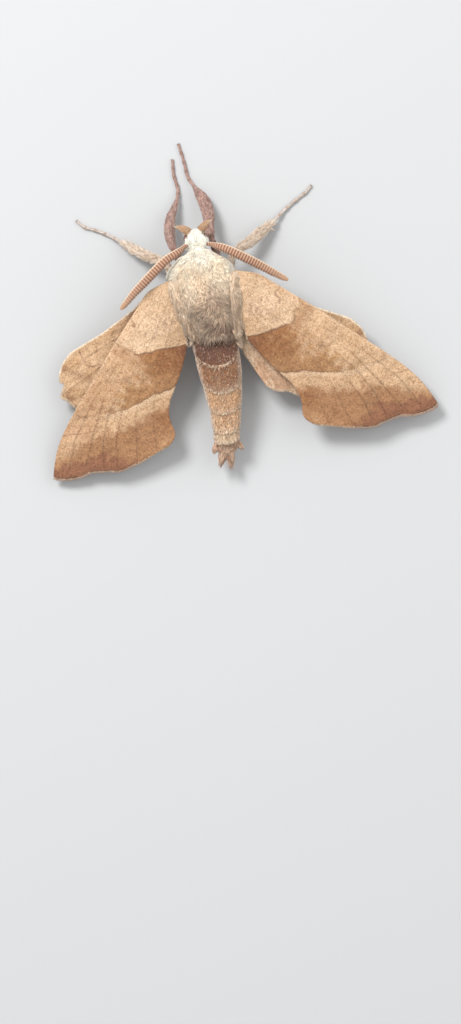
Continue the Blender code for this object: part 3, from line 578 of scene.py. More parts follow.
class Tube:
    """A closed tube of skin: its places by share along and angle round, where 0 is underneath."""

    def __init__(self, centre, width, height, paint, level=False, lag=None):
        self.centre, self.width, self.height = centre, width, height
        self.paint, self.level, self.lag = paint, level, lag

    def axes(self, shares):
        if self.level:
            return np.tile([-1.0, 0, 0], (len(shares), 1)), np.tile(UP, (len(shares), 1))
        along = unit(self.centre(shares + 0.01) - self.centre(shares - 0.01))
        side = unit(np.cross(along, UP))
        return side, np.cross(side, along)

    def place(self, shares, angles):
        side, up = self.axes(shares)
        level = -np.cos(angles)
        made = self.centre(shares) + side * (self.width(shares) * np.sin(angles))[:, None]
        made = made + up * (self.height(shares) * level)[:, None]
        if self.lag:
            made[:, 1] -= self.lag(shares) * np.maximum(level, 0)
        return made

    def steps(self, shares, angles, step):
        """How far the skin's place moves along the tube and round it."""
        along = self.place(shares + step, angles) - self.place(shares - step, angles)
        return along, self.place(shares, angles + step) - self.place(shares, angles - step)

    def ways(self, shares, angles):
        """The way along the tube at each place, and the way out of it."""
        along, around = self.steps(shares, angles, 0.004)
        out = unit(np.cross(along, around))
        outward = self.place(shares, angles) - self.centre(shares)
        return unit(along), out * np.sign((out * outward).sum(1))[:, None]

    def grid(self, rows, columns):
        """Points of a closed mesh, its faces, and the share and angle of each point."""
        shares, angles = ring_grid(rows, columns)
        faces = grid_faces(rows, columns, closed=True).tolist()
        faces += [list(range(columns))[::-1], list(range((rows - 1) * columns, rows * columns))]
        return self.place(shares, angles), faces, shares, angles

    def roots(self, count, draw):
        """Shares and angles of places spread evenly over the tube."""
        tried = 3 * count
        shares, angles = draw.uniform(0.005, 0.995, tried), draw.uniform(0, 2 * np.pi, tried)
        area = np.linalg.norm(np.cross(*self.steps(shares, angles, 0.01)), axis=1)
        kept = draw.uniform(0, 1, tried) < area / np.quantile(area, 0.97)
        return shares[kept][:count], angles[kept][:count]


def body_tube(ends, x, z, width, height, paint, lag=None):
    """A tube along the body, whose sizes are read by their place there."""
    front, rear = ends

    def y(shares):
        return front + (rear - front) * shares

    def by_share(read):
        return lambda shares: read(y(shares))

    def centre(shares):
        return np.stack([x(y(shares)), y(shares), z(y(shares))], axis=-1)

    return Tube(centre, by_share(width), by_share(height), paint, True, lag and by_share(lag))


def limb_tube(points, widths, height_share, paint):
    path = Path(points)
    width = smooth_table(widths)
    return Tube(path.at, width, lambda s: width(s) * height_share, paint)


def thorax_height(y):
    fullness = 1 - (1 - np.minimum(1, thorax_width(y) / THORAX_FULL_HEIGHT_WIDTH)) ** 2
    return THORAX_HALF_HEIGHT * (THORAX_END_HEIGHT_SHARE + (1 - THORAX_END_HEIGHT_SHARE) * fullness)


def flank_x(sign, y, z):
    level = (z - THORAX_Z) / THORAX_HALF_HEIGHT
    return thorax_x(y) + sign * thorax_width(y) * math.sqrt(1 - level * level)


def hip_place(sign, y, angle):
    c, s = math.cos(math.radians(angle)), math.sin(math.radians(angle))
    width = float(thorax_width(y))
    place = np.array([float(thorax_x(y)) + sign * width * c, y, THORAX_Z + THORAX_HALF_HEIGHT * s])
    return place, unit(np.array([sign * c / width, 0, s / THORAX_HALF_HEIGHT]))


def segment_rows():
    """Rows of flank place, half width and lag of the abdomen's edge, segment by segment."""
    y, start = ABDOMEN_FRONT
    before = 0.0
    rows = []
    for rear, end, lag in ABDOMEN_SEGMENTS:
        for share in np.linspace(0, 1, SEGMENT_ROW_COUNT):
            width = start + (end - start) * share + SEGMENT_SWELL * math.sin(math.pi * share)
            rows.append((y + (rear - y) * share, width, before + (lag - before) * share))
        y, start, before = rear - SEGMENT_OVERLAP, end - SEGMENT_STEP, lag
    rows.append(ABDOMEN_LAST_ROW)
    return np.array(rows)[::-1]


SEGMENT_ROWS = segment_rows()


def abdomen_width(y):
    return np.interp(y, SEGMENT_ROWS[:, 0], SEGMENT_ROWS[:, 1]) - COAT_DEPTH


def abdomen_lag(y):
    return np.interp(y, SEGMENT_ROWS[:, 0], SEGMENT_ROWS[:, 2])


# Marks of the body.


def paint_thorax(places, shares, angles):
    x, y, z = places.T
    out = np.abs(x - THORAX_MIDDLE_X)
    streaks = ripple(places * (1, 0.25, 1), 0.6, 21)
    wander = ripple(places, 3.0, 22) * 0.5
    rear = fall(y + wander, 1.6, 4.8)
    layers = [
        (CREAM, fall(y + wander, 8.5, 11.0) * 0.85),
        (PALE_BUFF, fall(y + wander, 5.0, 9.0) * 0.7),
        (GREY, fall(y + wander, 2.0, 8.0) * 0.55),
        (BUFF, hump(x, -0.45, 0.6) * ramp(y, 3.0, 5.0) * fall(y, 7.5, 9.6) * 0.7),
        # Painted shade: grey over the right of the back, the side away from the key lamp.
        (GREY, hump(x, 0.75, 0.6) * ramp(y, 2.5, 4.0) * fall(y, 6.5, 8.4) * 0.55),
        # Painted shadow: grey along both flanks above the wings' roots.
        (GREY, hump(out, 3.6, 0.3) * ramp(y, 1.5, 3.0) * fall(y, 6.0, 7.6) * 0.4),
        # White over the front shoulders: partly their white hair, partly painted light where the lamps leave
        # them grey.
        (PURE_WHITE, ramp(out, 2.2, 3.4) * ramp(y, 7.2, 8.8) * 0.8),
        (OUTER_TAN, rear * 0.5),
        (PURPLE_BROWN, rear * ramp(streaks, -0.3, 0.7) * 0.65),
        (PALE_BUFF, rear * fall(streaks, -1.0, -0.2) * 0.5),
        (PINK_TAN, fall(z, 3.2, 4.6) * 0.7),
    ]
    return painted(len(x), WHITE, layers)


def paint_abdomen(places, shares, angles):
    y = places[:, 1]
    side, level = np.abs(np.sin(angles)), np.maximum(-np.cos(angles), 0)
    made = painted(len(y), SEGMENT_LOOKS[-1][0])
    front = np.full(len(y), ABDOMEN_ENDS[0])
    mottle = ripple(places, 0.28, 25)
    for (colour, band, dark, light), (rear, _, lag) in zip(SEGMENT_LOOKS, ABDOMEN_SEGMENTS):
        edge = rear - lag * level + 0.05 * ripple(places, 0.7, 24)
        inside = (y <= front) & (y > edge)
        behind, before = (y - edge)[inside], (front - y)[inside]
        share = behind / (behind + before)
        first = colour == PURPLE_BROWN
        layers = [
            (RED_BROWN if first else PINK_CREAM, fall(share, 0.0, 0.5) * 0.4),
            (BROWN, fall(side[inside], 0.1, 0.7) * hump(share, 0.7, 0.3) * (0.0 if first else 0.35)),
            (BROWN, ramp(mottle[inside], 0.2, 1.2) * dark),
            (CREAM, fall(mottle[inside], -1.2, -0.2) * light),
            (PINK_CREAM, ramp(side[inside], 0.86 if first else 0.72, 0.98) * 0.85),
            (DARK_BROWN, hump(before, 0.1, 0.16) * 0.45),
            (PALE_BUFF if first else CREAM, fall(behind, 0.75 * BAND_WIDTH, 1.25 * BAND_WIDTH) * band),
        ]
        made[inside] = painted(inside.sum(), colour, layers)
        front = edge
    made += (linear(PINK_TAN) - made) * (0.75 * ramp(np.cos(angles), -0.1, 0.3))[:, None]
    return made


def paint_tail(places, shares, angles):
    return painted(len(shares), PINK_TAN, [(BROWN, ramp(shares, 0.5, 1.0) * 0.5)])


def paint_head(places, shares, angles):
    x, y, z = places.T
    out = np.abs(x - HEAD_X)
    layers = [
        (ORANGE_TAN, fall(z, 4.6, 5.4) * 0.8),
        (ORANGE_TAN, ramp(out, 0.62, 0.85) * ramp(y, 11.8, 12.2) * 0.85),
        (BROWN, ramp(out, 0.95, 1.25) * fall(z, 4.9, 5.5) * 0.8),
    ]
    return painted(len(x), PURE_WHITE, layers)


def paint_palp(places, shares, angles):
    layers = [(CREAM, ramp(shares, 0.7, 1.0) * 0.6), (BROWN, hump(shares, 0.2, 0.2) * 0.3)]
    return painted(len(shares), ORANGE_TAN, layers)


def leg_paint(first, second, seed):
    def paint(places, shares, angles):
        spots = ripple(places, 0.5, seed)
        return painted(len(shares), first, [(second, ramp(spots, 0.2, 1.0) * 0.6)])

    return paint


def toe_paint(first, second):
    def paint(places, shares, angles):
        ring = np.cos(shares * TOE_JOINTS * 2 * np.pi)
        return painted(len(shares), first, [(second, ramp(ring, 0.5, 1.0) * 0.6)])

    return paint


def ringed(width):
    """A toe's width, swollen at its joints."""
    return lambda shares: width(shares) * (1 + TOE_SWELL * np.cos(shares * TOE_JOINTS * 2 * np.pi))


def make_tubes():
    """All surfaces of the skin by name."""
    tail_width, head_width = smooth_table(TAIL_HALF_WIDTHS), smooth_table(HEAD_HALF_WIDTHS)
    tubes = {
        "thorax": body_tube(
            THORAX_ENDS, thorax_x, steady(THORAX_Z), thorax_width, thorax_height, paint_thorax
        ),
        "abdomen": body_tube(
            ABDOMEN_ENDS, abdomen_x, abdomen_z, abdomen_width,
            lambda y: abdomen_width(y) * ABDOMEN_HEIGHT_SHARE, paint_abdomen, abdomen_lag,
        ),
        "tail": body_tube(
            TAIL_ENDS, abdomen_x, smooth_table(TAIL_Z), tail_width,
            lambda y: TAIL_HALF_HEIGHT * np.minimum(1, tail_width(y)), paint_tail,
        ),
        "head": body_tube(
            HEAD_ENDS, steady(HEAD_X), steady(HEAD_Z), lambda y: head_width(y) - COAT_DEPTH,
            lambda y: (head_width(y) - COAT_DEPTH) * HEAD_HEIGHT_SHARE, paint_head,
        ),
    }
    for side in SIDES:
        tubes[f"palp_{side}"] = limb_tube(PALPS[side], PALP_HALF_WIDTHS, PALP_HEIGHT_SHARE, paint_palp)
    for name, leg in LEGS.items():
        pair, side = name.split("_")
        hip, out = hip_place(SIDES[side], *leg["hip"])
        knee = np.array(leg["knee"])
        bend = hip + out * HIP_OUT + unit(knee - hip) * HIP_TO_KNEE
        colours = (MAUVE, PURPLE_BROWN) if pair == "fore" else (PINK_CREAM, TAN)
        paint = leg_paint(*colours, 31 + len(tubes))
        tubes[f"thigh_{name}"] = limb_tube([hip, bend, knee], even_table(THIGH_RADII), 1.0, paint)
        widths = [(share, width * SHIN_SKIN_SHARE) for share, width in even_table(leg["shin_half_widths"])]
        tubes[f"shin_{name}"] = limb_tube([knee, *leg["shin"]], widths, SHIN_HEIGHT_SHARE, paint)
        paint = toe_paint(*(colours if pair == "fore" else (ASH, GREY)))
        toes = limb_tube([leg["shin"][-1], *leg["toes"]], TOE_RADII, 1.0, paint)
        toes.width = toes.height = ringed(toes.width)
        tubes[f"toes_{name}"] = toes
    return tubes


def make_skin(tubes):
    """One closed skin through all the tubes, coloured by the nearest of their marks."""
    points, faces, colours = [], [], []
    count = 0
    for tube in tubes.values():
        placed, made, shares, angles = tube.grid(*(BODY_GRID if tube.level else LIMB_GRID))
        placed[:, 2] = np.maximum(placed[:, 2], 0.0)
        points.append(placed)
        colours.append(tube.paint(placed, shares, angles))
        faces += [[i + count for i in face] for face in made]
        count += len(placed)
    points, colours = np.vstack(points), np.vstack(colours)
    rough = bpy.data.meshes.new("rough_skin")
    rough.from_pydata(points.tolist(), [], faces)
    holder = in_scene("rough_skin", rough)
    remesh = holder.modifiers.new("join", "REMESH")
    remesh.mode, remesh.voxel_size = "VOXEL", VOXEL
    soft = holder.modifiers.new("soft", "SMOOTH")
    soft.factor, soft.iterations = 0.5, 2
    joined = holder.evaluated_get(bpy.context.evaluated_depsgraph_get()).to_mesh()
    places = np.zeros(len(joined.vertices) * 3)
    joined.vertices.foreach_get("co", places)
    places = places.reshape(-1, 3)
    quads = np.array([p.vertices[:] for p in joined.polygons])
    bpy.data.objects.remove(holder)
    nearest = nearest_of(points, places)
    places[:, 2] = np.maximum(places[:, 2], 0.0)
    flesh = ["thorax", "abdomen", "tail_tuft", "head", "palp_left", "palp_right"]
    flesh += [f"{part}_{leg}" for leg in LEGS for part in ("thigh", "shin", "foot")]
    make_piece("skin", places, quads, colours[nearest], SKIN, flesh)


# Coat. Each blade is three rings of three points and a tip.

BLADE_SHARES = np.array([0.0, 0.36, 0.72, 1.0])
BLADE_SIZES = np.array([0.8, 1.0, 0.62])
BLADE_POINTS = 10
# Painted shade: root colours are raised to these powers of root_shade, so the shade deep in the coat is
# warm, standing in for light scattered among the hairs.
ROOT_SHADE_WARMTH = np.array([0.6, 1.0, 1.4])
BLADE_FACES = np.array(
    [(0, 1, 2)]
    + [
        tuple(3 * k + i for i in face)
        for k in (0, 1)
        for face in ((0, 3, 4), (0, 4, 1), (1, 4, 5), (1, 5, 2), (2, 5, 3), (2, 3, 0))
    ]
    + [(6, 9, 7), (7, 9, 8), (8, 9, 6)]
)
PATCH = 0.003
PATCH_MARGIN, PATCH_REACH = 0.03, 0.94
MOST_LIGHT = 0.97
LEAST_Z = 0.03


def nearest_of(points, places):
    """The index of the nearest point to each place."""
    tree = kdtree.KDTree(len(points))
    for i, point in enumerate(points):
        tree.insert(point, i)
    tree.balance()
    return np.array([tree.find(place)[1] for place in places])


def capped(tones):
    """Colours that keep their hue when they would send back more light than falls on them."""
    return tones / np.maximum(tones.max(axis=-1, keepdims=True) / MOST_LIGHT, 1)


class Coat:
    """Thin closed blades of hair or scales, gathered for one mesh."""

    def __init__(self, seed):
        self.draw = np.random.default_rng(seed)
        self.points, self.colours, self.patches = [], [], []

    def add(self, roots, ups, ways, spots, colours, length, width, lift=0.12, hug=0.0, sway=0.15,
            thick=0.4, sink=0.08, groups=0, pull=0.5, tip=1.05, root_shade=0.86, vary=0.1,
            flecks=(), gain=1.0, stray=0.0, lock_vary=0.0):
        """Adds a blade at each root. lift raises it, sink lowers its root, hug bends its tip down, sway
        moves it sideways, groups draws the tips together in locks by the share pull, stray turns each
        blade its own way, flecks are (colour, share of the blades, strength), vary and lock_vary change
        the light of each blade and each lock, gain brightens all colours, root_shade darkens each root,
        partly for its own darker colour and partly as painted shade deep in the coat, tip brightens each
        tip, and spots are the roots' places on the unwrapped skin."""
        draw, count = self.draw, len(roots)
        for colour, share, strength in flecks:
            chosen = draw.uniform(0, 1, count) < share
            colours = colours + (linear(colour) - colours) * (chosen * strength)[:, None]
        length = length * draw.uniform(0.8, 1.2, count)
        width = width * draw.uniform(0.8, 1.2, count)
        astray = np.cross(ways, ups) * (draw.normal(0, 1, count) * stray)[:, None]
        tips = roots + unit(ways + astray) * length[:, None]
        light = draw.normal(1, vary, count)
        if groups:
            chosen = draw.choice(count, groups, replace=False)
            lock = nearest_of(roots[chosen], roots)
            nearest = chosen[lock]
            light += draw.normal(0, lock_vary, groups)[lock]
            drawn = np.broadcast_to(pull, count)[:, None]
            tips += (tips[nearest] + (roots - roots[nearest]) * 0.25 - tips) * drawn
        ways = tips - roots
        ways -= ups * (ways * ups).sum(1)[:, None]
        length = np.linalg.norm(ways, axis=1)
        ways = unit(ways)
        sides = np.cross(ways, ups)
        bend = draw.normal(0, sway, count) * length
        rings = []
        for k, share in enumerate(BLADE_SHARES):
            rise = lift * share ** 0.7 - sink * (1 - share) ** 2 - hug * (length * share) ** 2
            middle = roots + ways * (length * share)[:, None] + ups * rise[:, None]
            middle += sides * (bend * (share ** 2 - share * 0.4))[:, None]
            if k == len(BLADE_SIZES):
                rings.append(middle[:, None])
                break
            half = (width * BLADE_SIZES[k] / 2)[:, None]
            ridge = middle + ups * half * 2 * thick
            rings.append(np.stack([middle - sides * half, middle + sides * half, ridge], 1))
        points = np.concatenate(rings, axis=1)
        points[..., 2] = np.maximum(points[..., 2], LEAST_Z)
        # Darker roots, partly their own colour and partly painted shade deep in the coat; brighter tips.
        shade = np.ones((count, BLADE_POINTS))
        shade[:, :3] = np.broadcast_to(root_shade, count)[:, None]
        shade[:, 6:] = tip
        self.points.append(points)
        tones = capped(np.broadcast_to(gain, count)[:, None, None] * colours[:, None])
        tones = tones * shade[:, :, None] ** ROOT_SHADE_WARMTH * light[:, None, None]
        self.colours.append(capped(tones))
        across = np.tile([-0.4, 0.4, 0.0], 3).tolist() + [0.0]
        along = np.repeat(BLADE_SHARES - 0.5, (3, 3, 3, 1)) * 0.8
        self.patches.append(spots[:, None] + PATCH * np.stack([across, along], axis=-1)[None])

    def build(self, name, material=HAIR):
        points = np.concatenate(self.points)
        firsts = BLADE_POINTS * np.arange(len(points))
        faces = (BLADE_FACES[None] + firsts[:, None, None]).reshape(-1, 3)
        colours = np.concatenate(self.colours).reshape(-1, 3)
        piece = make_piece(name, points.reshape(-1, 3), faces, colours, material)
        spots = np.concatenate(self.patches).reshape(-1, 2)
        layer = piece.data.uv_layers.new(name="OFBake")
        layer.data.foreach_set("uv", spots[faces.ravel()].astype(np.float32).ravel())


def strip(shares, row):
    """Places on the unwrapped skin, along one row of it."""
    return np.column_stack([PATCH_MARGIN + PATCH_REACH * shares, np.full(len(shares), row)])


def unwrapped(shares, angles, tile, tiles):
    """Places on a skin unrolled into one column of tiles."""
    u = (tile + PATCH_MARGIN + PATCH_REACH * (angles / (2 * np.pi))) / tiles
    return np.stack([u, PATCH_MARGIN + PATCH_REACH * shares], axis=-1)


def furred(coat, tube, count, length, width, tile=0, tiles=1, turn=None, keep=None, **look):
    """Fur over a tube: count blades before keep picks the places where it grows. Length, and each
    value of the look, may be a function of places. turn changes the ways the fur lies."""
    shares, angles = tube.roots(count, coat.draw)
    places = tube.place(shares, angles)
    if keep:
        kept = keep(places)
        shares, angles, places = shares[kept], angles[kept], places[kept]
    ways, ups = tube.ways(shares, angles)
    if turn:
        ways = turn(places, ways, ups)
    ways = unit(ways - ups * (ways * ups).sum(1)[:, None])
    colours = tube.paint(places, shares, angles)
    size = length(places) if callable(length) else length
    look = {key: value(places) if callable(value) else value for key, value in look.items()}
    coat.add(places, ups, ways, unwrapped(shares, angles, tile, tiles), colours, size, width, **look)


def thorax_length(places):
    y, z = places[:, 1], places[:, 2]
    size = 0.9 + 0.8 * fall(y, 2.0, 7.0)
    size *= 0.55 + 0.45 * ramp(z, 4.2, 6.5)
    return size * (0.6 + 0.4 * fall(y, 9.0, 10.8))


def turned(ways, ups, angles):
    """Ways turned sideways by angles."""
    return ways * np.cos(angles)[:, None] + np.cross(ups, ways) * np.sin(angles)[:, None]


def swirl(amount, size, seed):
    """Turns ways sideways by smooth random angles."""
    return lambda places, ways, ups: turned(ways, ups, amount * ripple(places, size, seed))


def thorax_ways(places, ways, ups):
    """Rearward, swept out over the shoulders, with wandering partings."""
    out, y = places[:, 0] - THORAX_MIDDLE_X, places[:, 1]
    sweep = np.sign(out) * ramp(np.abs(out), 1.5, 3.5) * (0.45 + 0.45 * ramp(y, 7.0, 9.5))
    ways = ways + sweep[:, None] * np.array([1.0, 0, 0])
    return turned(ways, ups, (0.25 + 0.45 * fall(y, 3.0, 6.0)) * ripple(places, 2.4, 41))


def head_ways(places, ways, ups):
    """Forward and outward from the crown, and rearward behind it."""
    crown = np.array([HEAD_X, 11.3, 6.6])
    forward = ramp(places[:, 1], 10.9, 11.5)[:, None]
    spread = unit(places - crown) * 0.8 * np.hstack([1 - 0.7 * forward, 1 + 0 * forward, 0.4 + 0 * forward])
    spread += np.array([0, 0.9, 0.1]) * (2 * forward - 1)
    return swirl(0.4, 0.6, 44)(places, unit(spread), ups)


def crown_places(places):
    """The top of the head, which narrows to the front."""
    reach = 1.3 - 0.5 * ramp(places[:, 1], 11.4, 12.2)
    return (places[:, 2] > 5.5) & (np.abs(places[:, 0] - HEAD_X) < reach)


def clear_of_eyes(places):
    clear = np.ones(len(places), bool)
    for sign in SIDES.values():
        offset = (places - (HEAD_X + sign * EYE_OUT, EYE_Y, EYE_Z)) / (0.6, 0.5, 0.5)
        clear &= np.linalg.norm(offset, axis=1) > 1
    return clear


def shoulders(places):
    """The flanks above the wings' front, where the fur stands out."""
    x, y, z = places.T
    out = np.abs(x - THORAX_MIDDLE_X) + 0.3 * ripple(places, 0.5, 46)
    return (y > 7.2) & (y < 10.0) & (np.abs(z - 5.9) < 2.0) & (out > 2.3)


def rearward(low, high):
    """A value that changes from low at the thorax's front to high at its rear."""
    return lambda places: low + (high - low) * fall(places[:, 1], 3.0, 8.0)


def thorax_gain(places):
    return 1.45 - 0.56 * fall(places[:, 1], 1.5, 9.5)


def axilla(places):
    """The rear of the flanks, where hair bridges the gap between wings and abdomen."""
    x, y, z = places.T
    return (y < 4.0) & (z > 3.8) & (z < 7.0) & (np.abs(x - 0.1) > 1.7)


def hips(places):
    """The abdomen's flanks just behind the wings."""
    x, y, z = places.T
    return (y > np.where(x < 0, 0.1, -1.0)) & (y < 1.4) & (np.abs(x - 0.36) > 2.35) & (z > 4.3)


def axilla_ways(places, ways, ups):
    return np.sign(places[:, :1]) * (0.6, 0, 0) + np.array([0, -1.0, 0.0])


def left_collar(places):
    """The thorax's left front, where the fur is fuller."""
    x, y, z = places.T
    return (x < -1.0) & (y > 8.4) & (y < 10.5) & (z > 4.4) & (z < 7.8)


def collar_ways(places, ways, ups):
    return ways * 0.6 + np.array([-1.0, 0.15, 0.0])


def coat_thorax(thorax):
    coat = Coat(seed=1)
    furred(coat, thorax, 6000, 0.65, 0.09, turn=swirl(0.3, 1.5, 40), lift=0.08, hug=0.06,
           root_shade=0.92, gain=thorax_gain, stray=0.3, vary=0.15)
    furred(coat, thorax, 8000, thorax_length, 0.075, turn=thorax_ways, keep=lambda p: p[:, 2] > 3.2,
           hug=0.08, lift=rearward(0.12, 0.26), groups=900, pull=rearward(0.0, 0.3), sway=0.3,
           vary=0.2, root_shade=rearward(0.92, 0.8), gain=thorax_gain, stray=rearward(0.4, 0.15))
    coat.build("thorax_coat")

    coat = Coat(seed=15)
    furred(coat, thorax, 16500, lambda p: 1.15 * thorax_length(p), 0.08, turn=thorax_ways,
           keep=lambda p: p[:, 2] > 5.2, hug=0.08, lift=rearward(0.15, 0.42), groups=1100,
           pull=rearward(0.0, 0.5), sway=0.4, vary=0.25, lock_vary=0.06, root_shade=rearward(0.8, 0.66),
           tip=1.1, thick=0.3, gain=thorax_gain, stray=rearward(0.4, 0.2),
           flecks=((CREAM, 0.22, 0.35), (OUTER_TAN, 0.16, 0.35)))
    coat.build("thorax_hair")


def coat_shoulders(thorax, abdomen, wings):
    """Fur and long hair round the wings' roots."""
    coat = Coat(seed=13)
    # The shoulders' high gain is painted light that lifts them out of the shade among their hairs.
    furred(coat, thorax, 12000, 0.85, 0.07, turn=thorax_ways, keep=shoulders, groups=300, pull=0.1,
           lift=lambda p: 0.25 + 0.12 * (p[:, 0] < 0), root_shade=0.97, gain=1.6, stray=0.35, vary=0.12)
    furred(coat, thorax, 16000, lambda p: 1.9 - 0.9 * fall(p[:, 1], 1.0, 2.8), 0.065,
           turn=axilla_ways, keep=axilla, lift=0.6, groups=100, pull=0.2, root_shade=0.9, gain=1.35,
           stray=0.25, vary=0.15, flecks=((WHITE, 0.3, 0.5), (PALE_BUFF, 0.6, 0.7)))
    furred(coat, abdomen, 14000, 0.8, 0.06, turn=axilla_ways, keep=hips, lift=0.5, groups=40, pull=0.2,
           root_shade=0.9, gain=1.35, stray=0.3, flecks=((CREAM, 0.4, 0.6), (PALE_BUFF, 0.5, 0.7)))
    for row, side in enumerate(SIDES):
        wing_base_hair(coat, thorax.paint, side, row, wings[side])
        bridge_hair(coat, side, row)
    # The left collar's white is partly white hair and partly painted light on its front.
    furred(coat, thorax, 9000, 1.0, 0.07, turn=collar_ways, keep=left_collar, lift=0.42, groups=90,
           pull=0.15, sway=0.2, root_shade=0.95, gain=1.6, stray=0.3, vary=0.12,
           flecks=((PURE_WHITE, 0.6, 0.8), (CREAM, 0.2, 0.4)))
    coat.build("shoulder_coat")


def coat_abdomen(abdomen, tail):
    for name, seed, gain, keep in (
        ("front", 20, 1.25, lambda p: p[:, 1] > ABDOMEN_SPLIT),
        ("rear", 21, 1.32, lambda p: p[:, 1] <= ABDOMEN_SPLIT),
    ):
        coat = Coat(seed)
        furred(coat, abdomen, 17000, 0.31, 0.075, turn=swirl(0.25, 1.2, 42), keep=keep, lift=0.08,
               hug=0.06, sway=0.1, vary=0.27, gain=gain, stray=0.25, root_shade=0.78,
               flecks=((DARK_BROWN, 0.3, 0.5), (GOLD, 0.2, 0.4), (CREAM, 0.12, 0.4)))
        coat.build(f"abdomen_coat_{name}")

    coat = Coat(seed=14)
    furred(coat, tail, 900, 0.6, 0.08, groups=60, gain=1.2,
           flecks=((WHITE, 0.2, 0.5), (BROWN, 0.2, 0.4)))
    tail_locks(coat)
    coat.build("tail_coat")


def coat_head(tubes):
    coat = Coat(seed=3)
    tiles = 1 + len(SIDES)
    furred(coat, tubes["head"], 3000, 0.4, 0.07, 0, tiles, turn=head_ways, keep=clear_of_eyes,
           lift=0.14, hug=0.2, groups=150, pull=0.4, root_shade=0.95, gain=1.4)
    furred(coat, tubes["head"], 2600, 0.8, 0.065, 0, tiles, turn=head_ways, keep=crown_places,
           lift=0.32, hug=0.1, groups=110, sway=0.35, vary=0.12, root_shade=0.78, gain=1.45,
           stray=0.3, lock_vary=0.05)
    for tile, side in enumerate(SIDES, 1):
        furred(coat, tubes[f"palp_{side}"], 1300, 0.32, 0.05, tile, tiles, lift=0.05, hug=0.05,
               stray=0.15, gain=1.15, flecks=((CREAM, 0.3, 0.5), (BROWN, 0.18, 0.4)))
    coat.build("head_coat")


def coat_legs(tubes):
    coat = Coat(seed=4)
    fore_flecks = ((PURPLE_BROWN, 0.3, 0.5), (PINK_CREAM, 0.3, 0.4))
    fore_look = {"length": 0.42, "lift": 0.06, "pull": 0.15, "gain": 1.0}
    other_flecks = ((BROWN, 0.22, 0.55), (WHITE, 0.4, 0.6))
    other_look = {"length": 0.8, "lift": 0.16, "pull": 0.35, "sway": 0.3, "gain": 1.22}
    tiles = 3 * len(LEGS)
    for i, name in enumerate(LEGS):
        fore = name.startswith("fore")
        flecks, look = (fore_flecks, fore_look) if fore else (other_flecks, other_look)
        furred(coat, tubes[f"thigh_{name}"], 450, 0.4, 0.08, 3 * i, tiles, lift=0.1, hug=0.1, groups=70,
               flecks=flecks, gain=1.1)
        furred(coat, tubes[f"shin_{name}"], 1150, width=0.06, tile=3 * i + 1, tiles=tiles, hug=0.04,
               groups=120, vary=0.12, turn=swirl(0.3, 0.8, 43 + i), stray=0.2, flecks=flecks, **look)
        furred(coat, tubes[f"toes_{name}"], 420, 0.22, 0.05, 3 * i + 2, tiles, lift=0.05, hug=0.1,
               vary=0.15, flecks=(*flecks, (GREY, 0.3, 0.6)), gain=1.1)
    coat.build("leg_coat")


def surface_heights(trees, plan):
    """Height of the highest surface under each place, and whether there is one."""
    hits = [[tree.ray_cast((x, y, 20.0), (0, 0, -1))[0] for tree in trees] for x, y in plan]
    heights = np.array([max([hit.z for hit in found if hit], default=0.0) for found in hits])
    return heights, heights > 0


def wing_base_hair(coat, paint, side, row, wing):
    """Long hair that runs rearward from the body's flank over the wings' roots."""
    sign = SIDES[side]
    count = 4200
    share = coat.draw.uniform(0, 1, count)
    y = 7.7 - 8.7 * share
    out = coat.draw.uniform(0, 1, count) ** 1.7 * (1.0 + 0.9 * np.minimum(share, 0.75))
    out -= WING_HAIR_INSET[side]
    flank = np.where(y > 1.0, thorax_x(y) + sign * thorax_width(y), abdomen_x(y) + sign * abdomen_width(y))
    x = flank + sign * out
    height, over = surface_heights(wing, np.column_stack([x, y]))
    over &= coat.draw.uniform(0, 1, count) > 0.85 * ramp(share, 0.72, 1.0)
    x, y, height, share, out = x[over], y[over], height[over], share[over], out[over]
    count = len(x)
    near, behind = fall(out, -0.4, 0.6), ramp(share, 0.68, 0.8)
    roots = np.column_stack([x, y, height + 0.02 + 0.9 * near * coat.draw.uniform(0, 1, count)])
    ways = np.tile([-sign * WING_HAIR_LEAN[side], -1, -0.1], (count, 1))
    ways[:, 0] += 0.12 * ripple(roots, 2.0, 45 + row)
    colours = painted(count, PALE_BUFF, [(PINK_TAN, behind * 0.5)])
    colours += (paint(roots, share, share) - colours) * (near * (1 - behind))[:, None] * 0.5
    length = (0.9 + 1.0 * near) * (0.4 + 0.6 * ramp(share, 0, 0.3)) * (1 - 0.5 * behind)
    # Painted light: hair near the flank is brightened by gain to lift it out of the shadow in the crease
    # beside the body.
    coat.add(roots, UP, unit(ways), strip(share, 0.4 + 0.2 * row), colours, length, 0.05,
             lift=0.03 + 0.04 * near, sway=0.08, sink=0.14, stray=0.15, gain=1.15 + 0.3 * near,
             groups=260, pull=0.15, lock_vary=0.04, flecks=((TAN, 0.25, 0.5), (WHITE, 0.25, 0.45)))


def bridge_hair(coat, side, row):
    """Hair from the thorax's rear flank that closes the gap between body and wings."""
    sign = SIDES[side]
    count = 1100
    rear, front = 0.9, 3.6
    y = coat.draw.uniform(rear, front, count)
    z = coat.draw.uniform(5.5, 6.5, count)
    level = (z - THORAX_Z) / THORAX_HALF_HEIGHT
    x = thorax_x(y) + sign * (thorax_width(y) * np.sqrt(1 - level * level) - 0.1)
    roots = np.column_stack([x, y, z])
    ways = np.tile([sign * 0.5, -1, -0.06], (count, 1))
    ways[:, 0] += 0.15 * ripple(roots, 1.2, 47 + row)
    colours = painted(count, PALE_BUFF, [(GREY, np.full(count, 0.2))])
    spots = strip((y - rear) / (front - rear), 0.42 + 0.16 * row)
    coat.add(roots, UP, unit(ways), spots, colours, BRIDGE_LENGTH[side], 0.055,
             lift=0.1, sway=0.12, vary=0.12, sink=0.0, stray=0.25, gain=1.45, groups=60, pull=0.15,
             flecks=((TAN, 0.2, 0.5), (WHITE, 0.25, 0.5)))


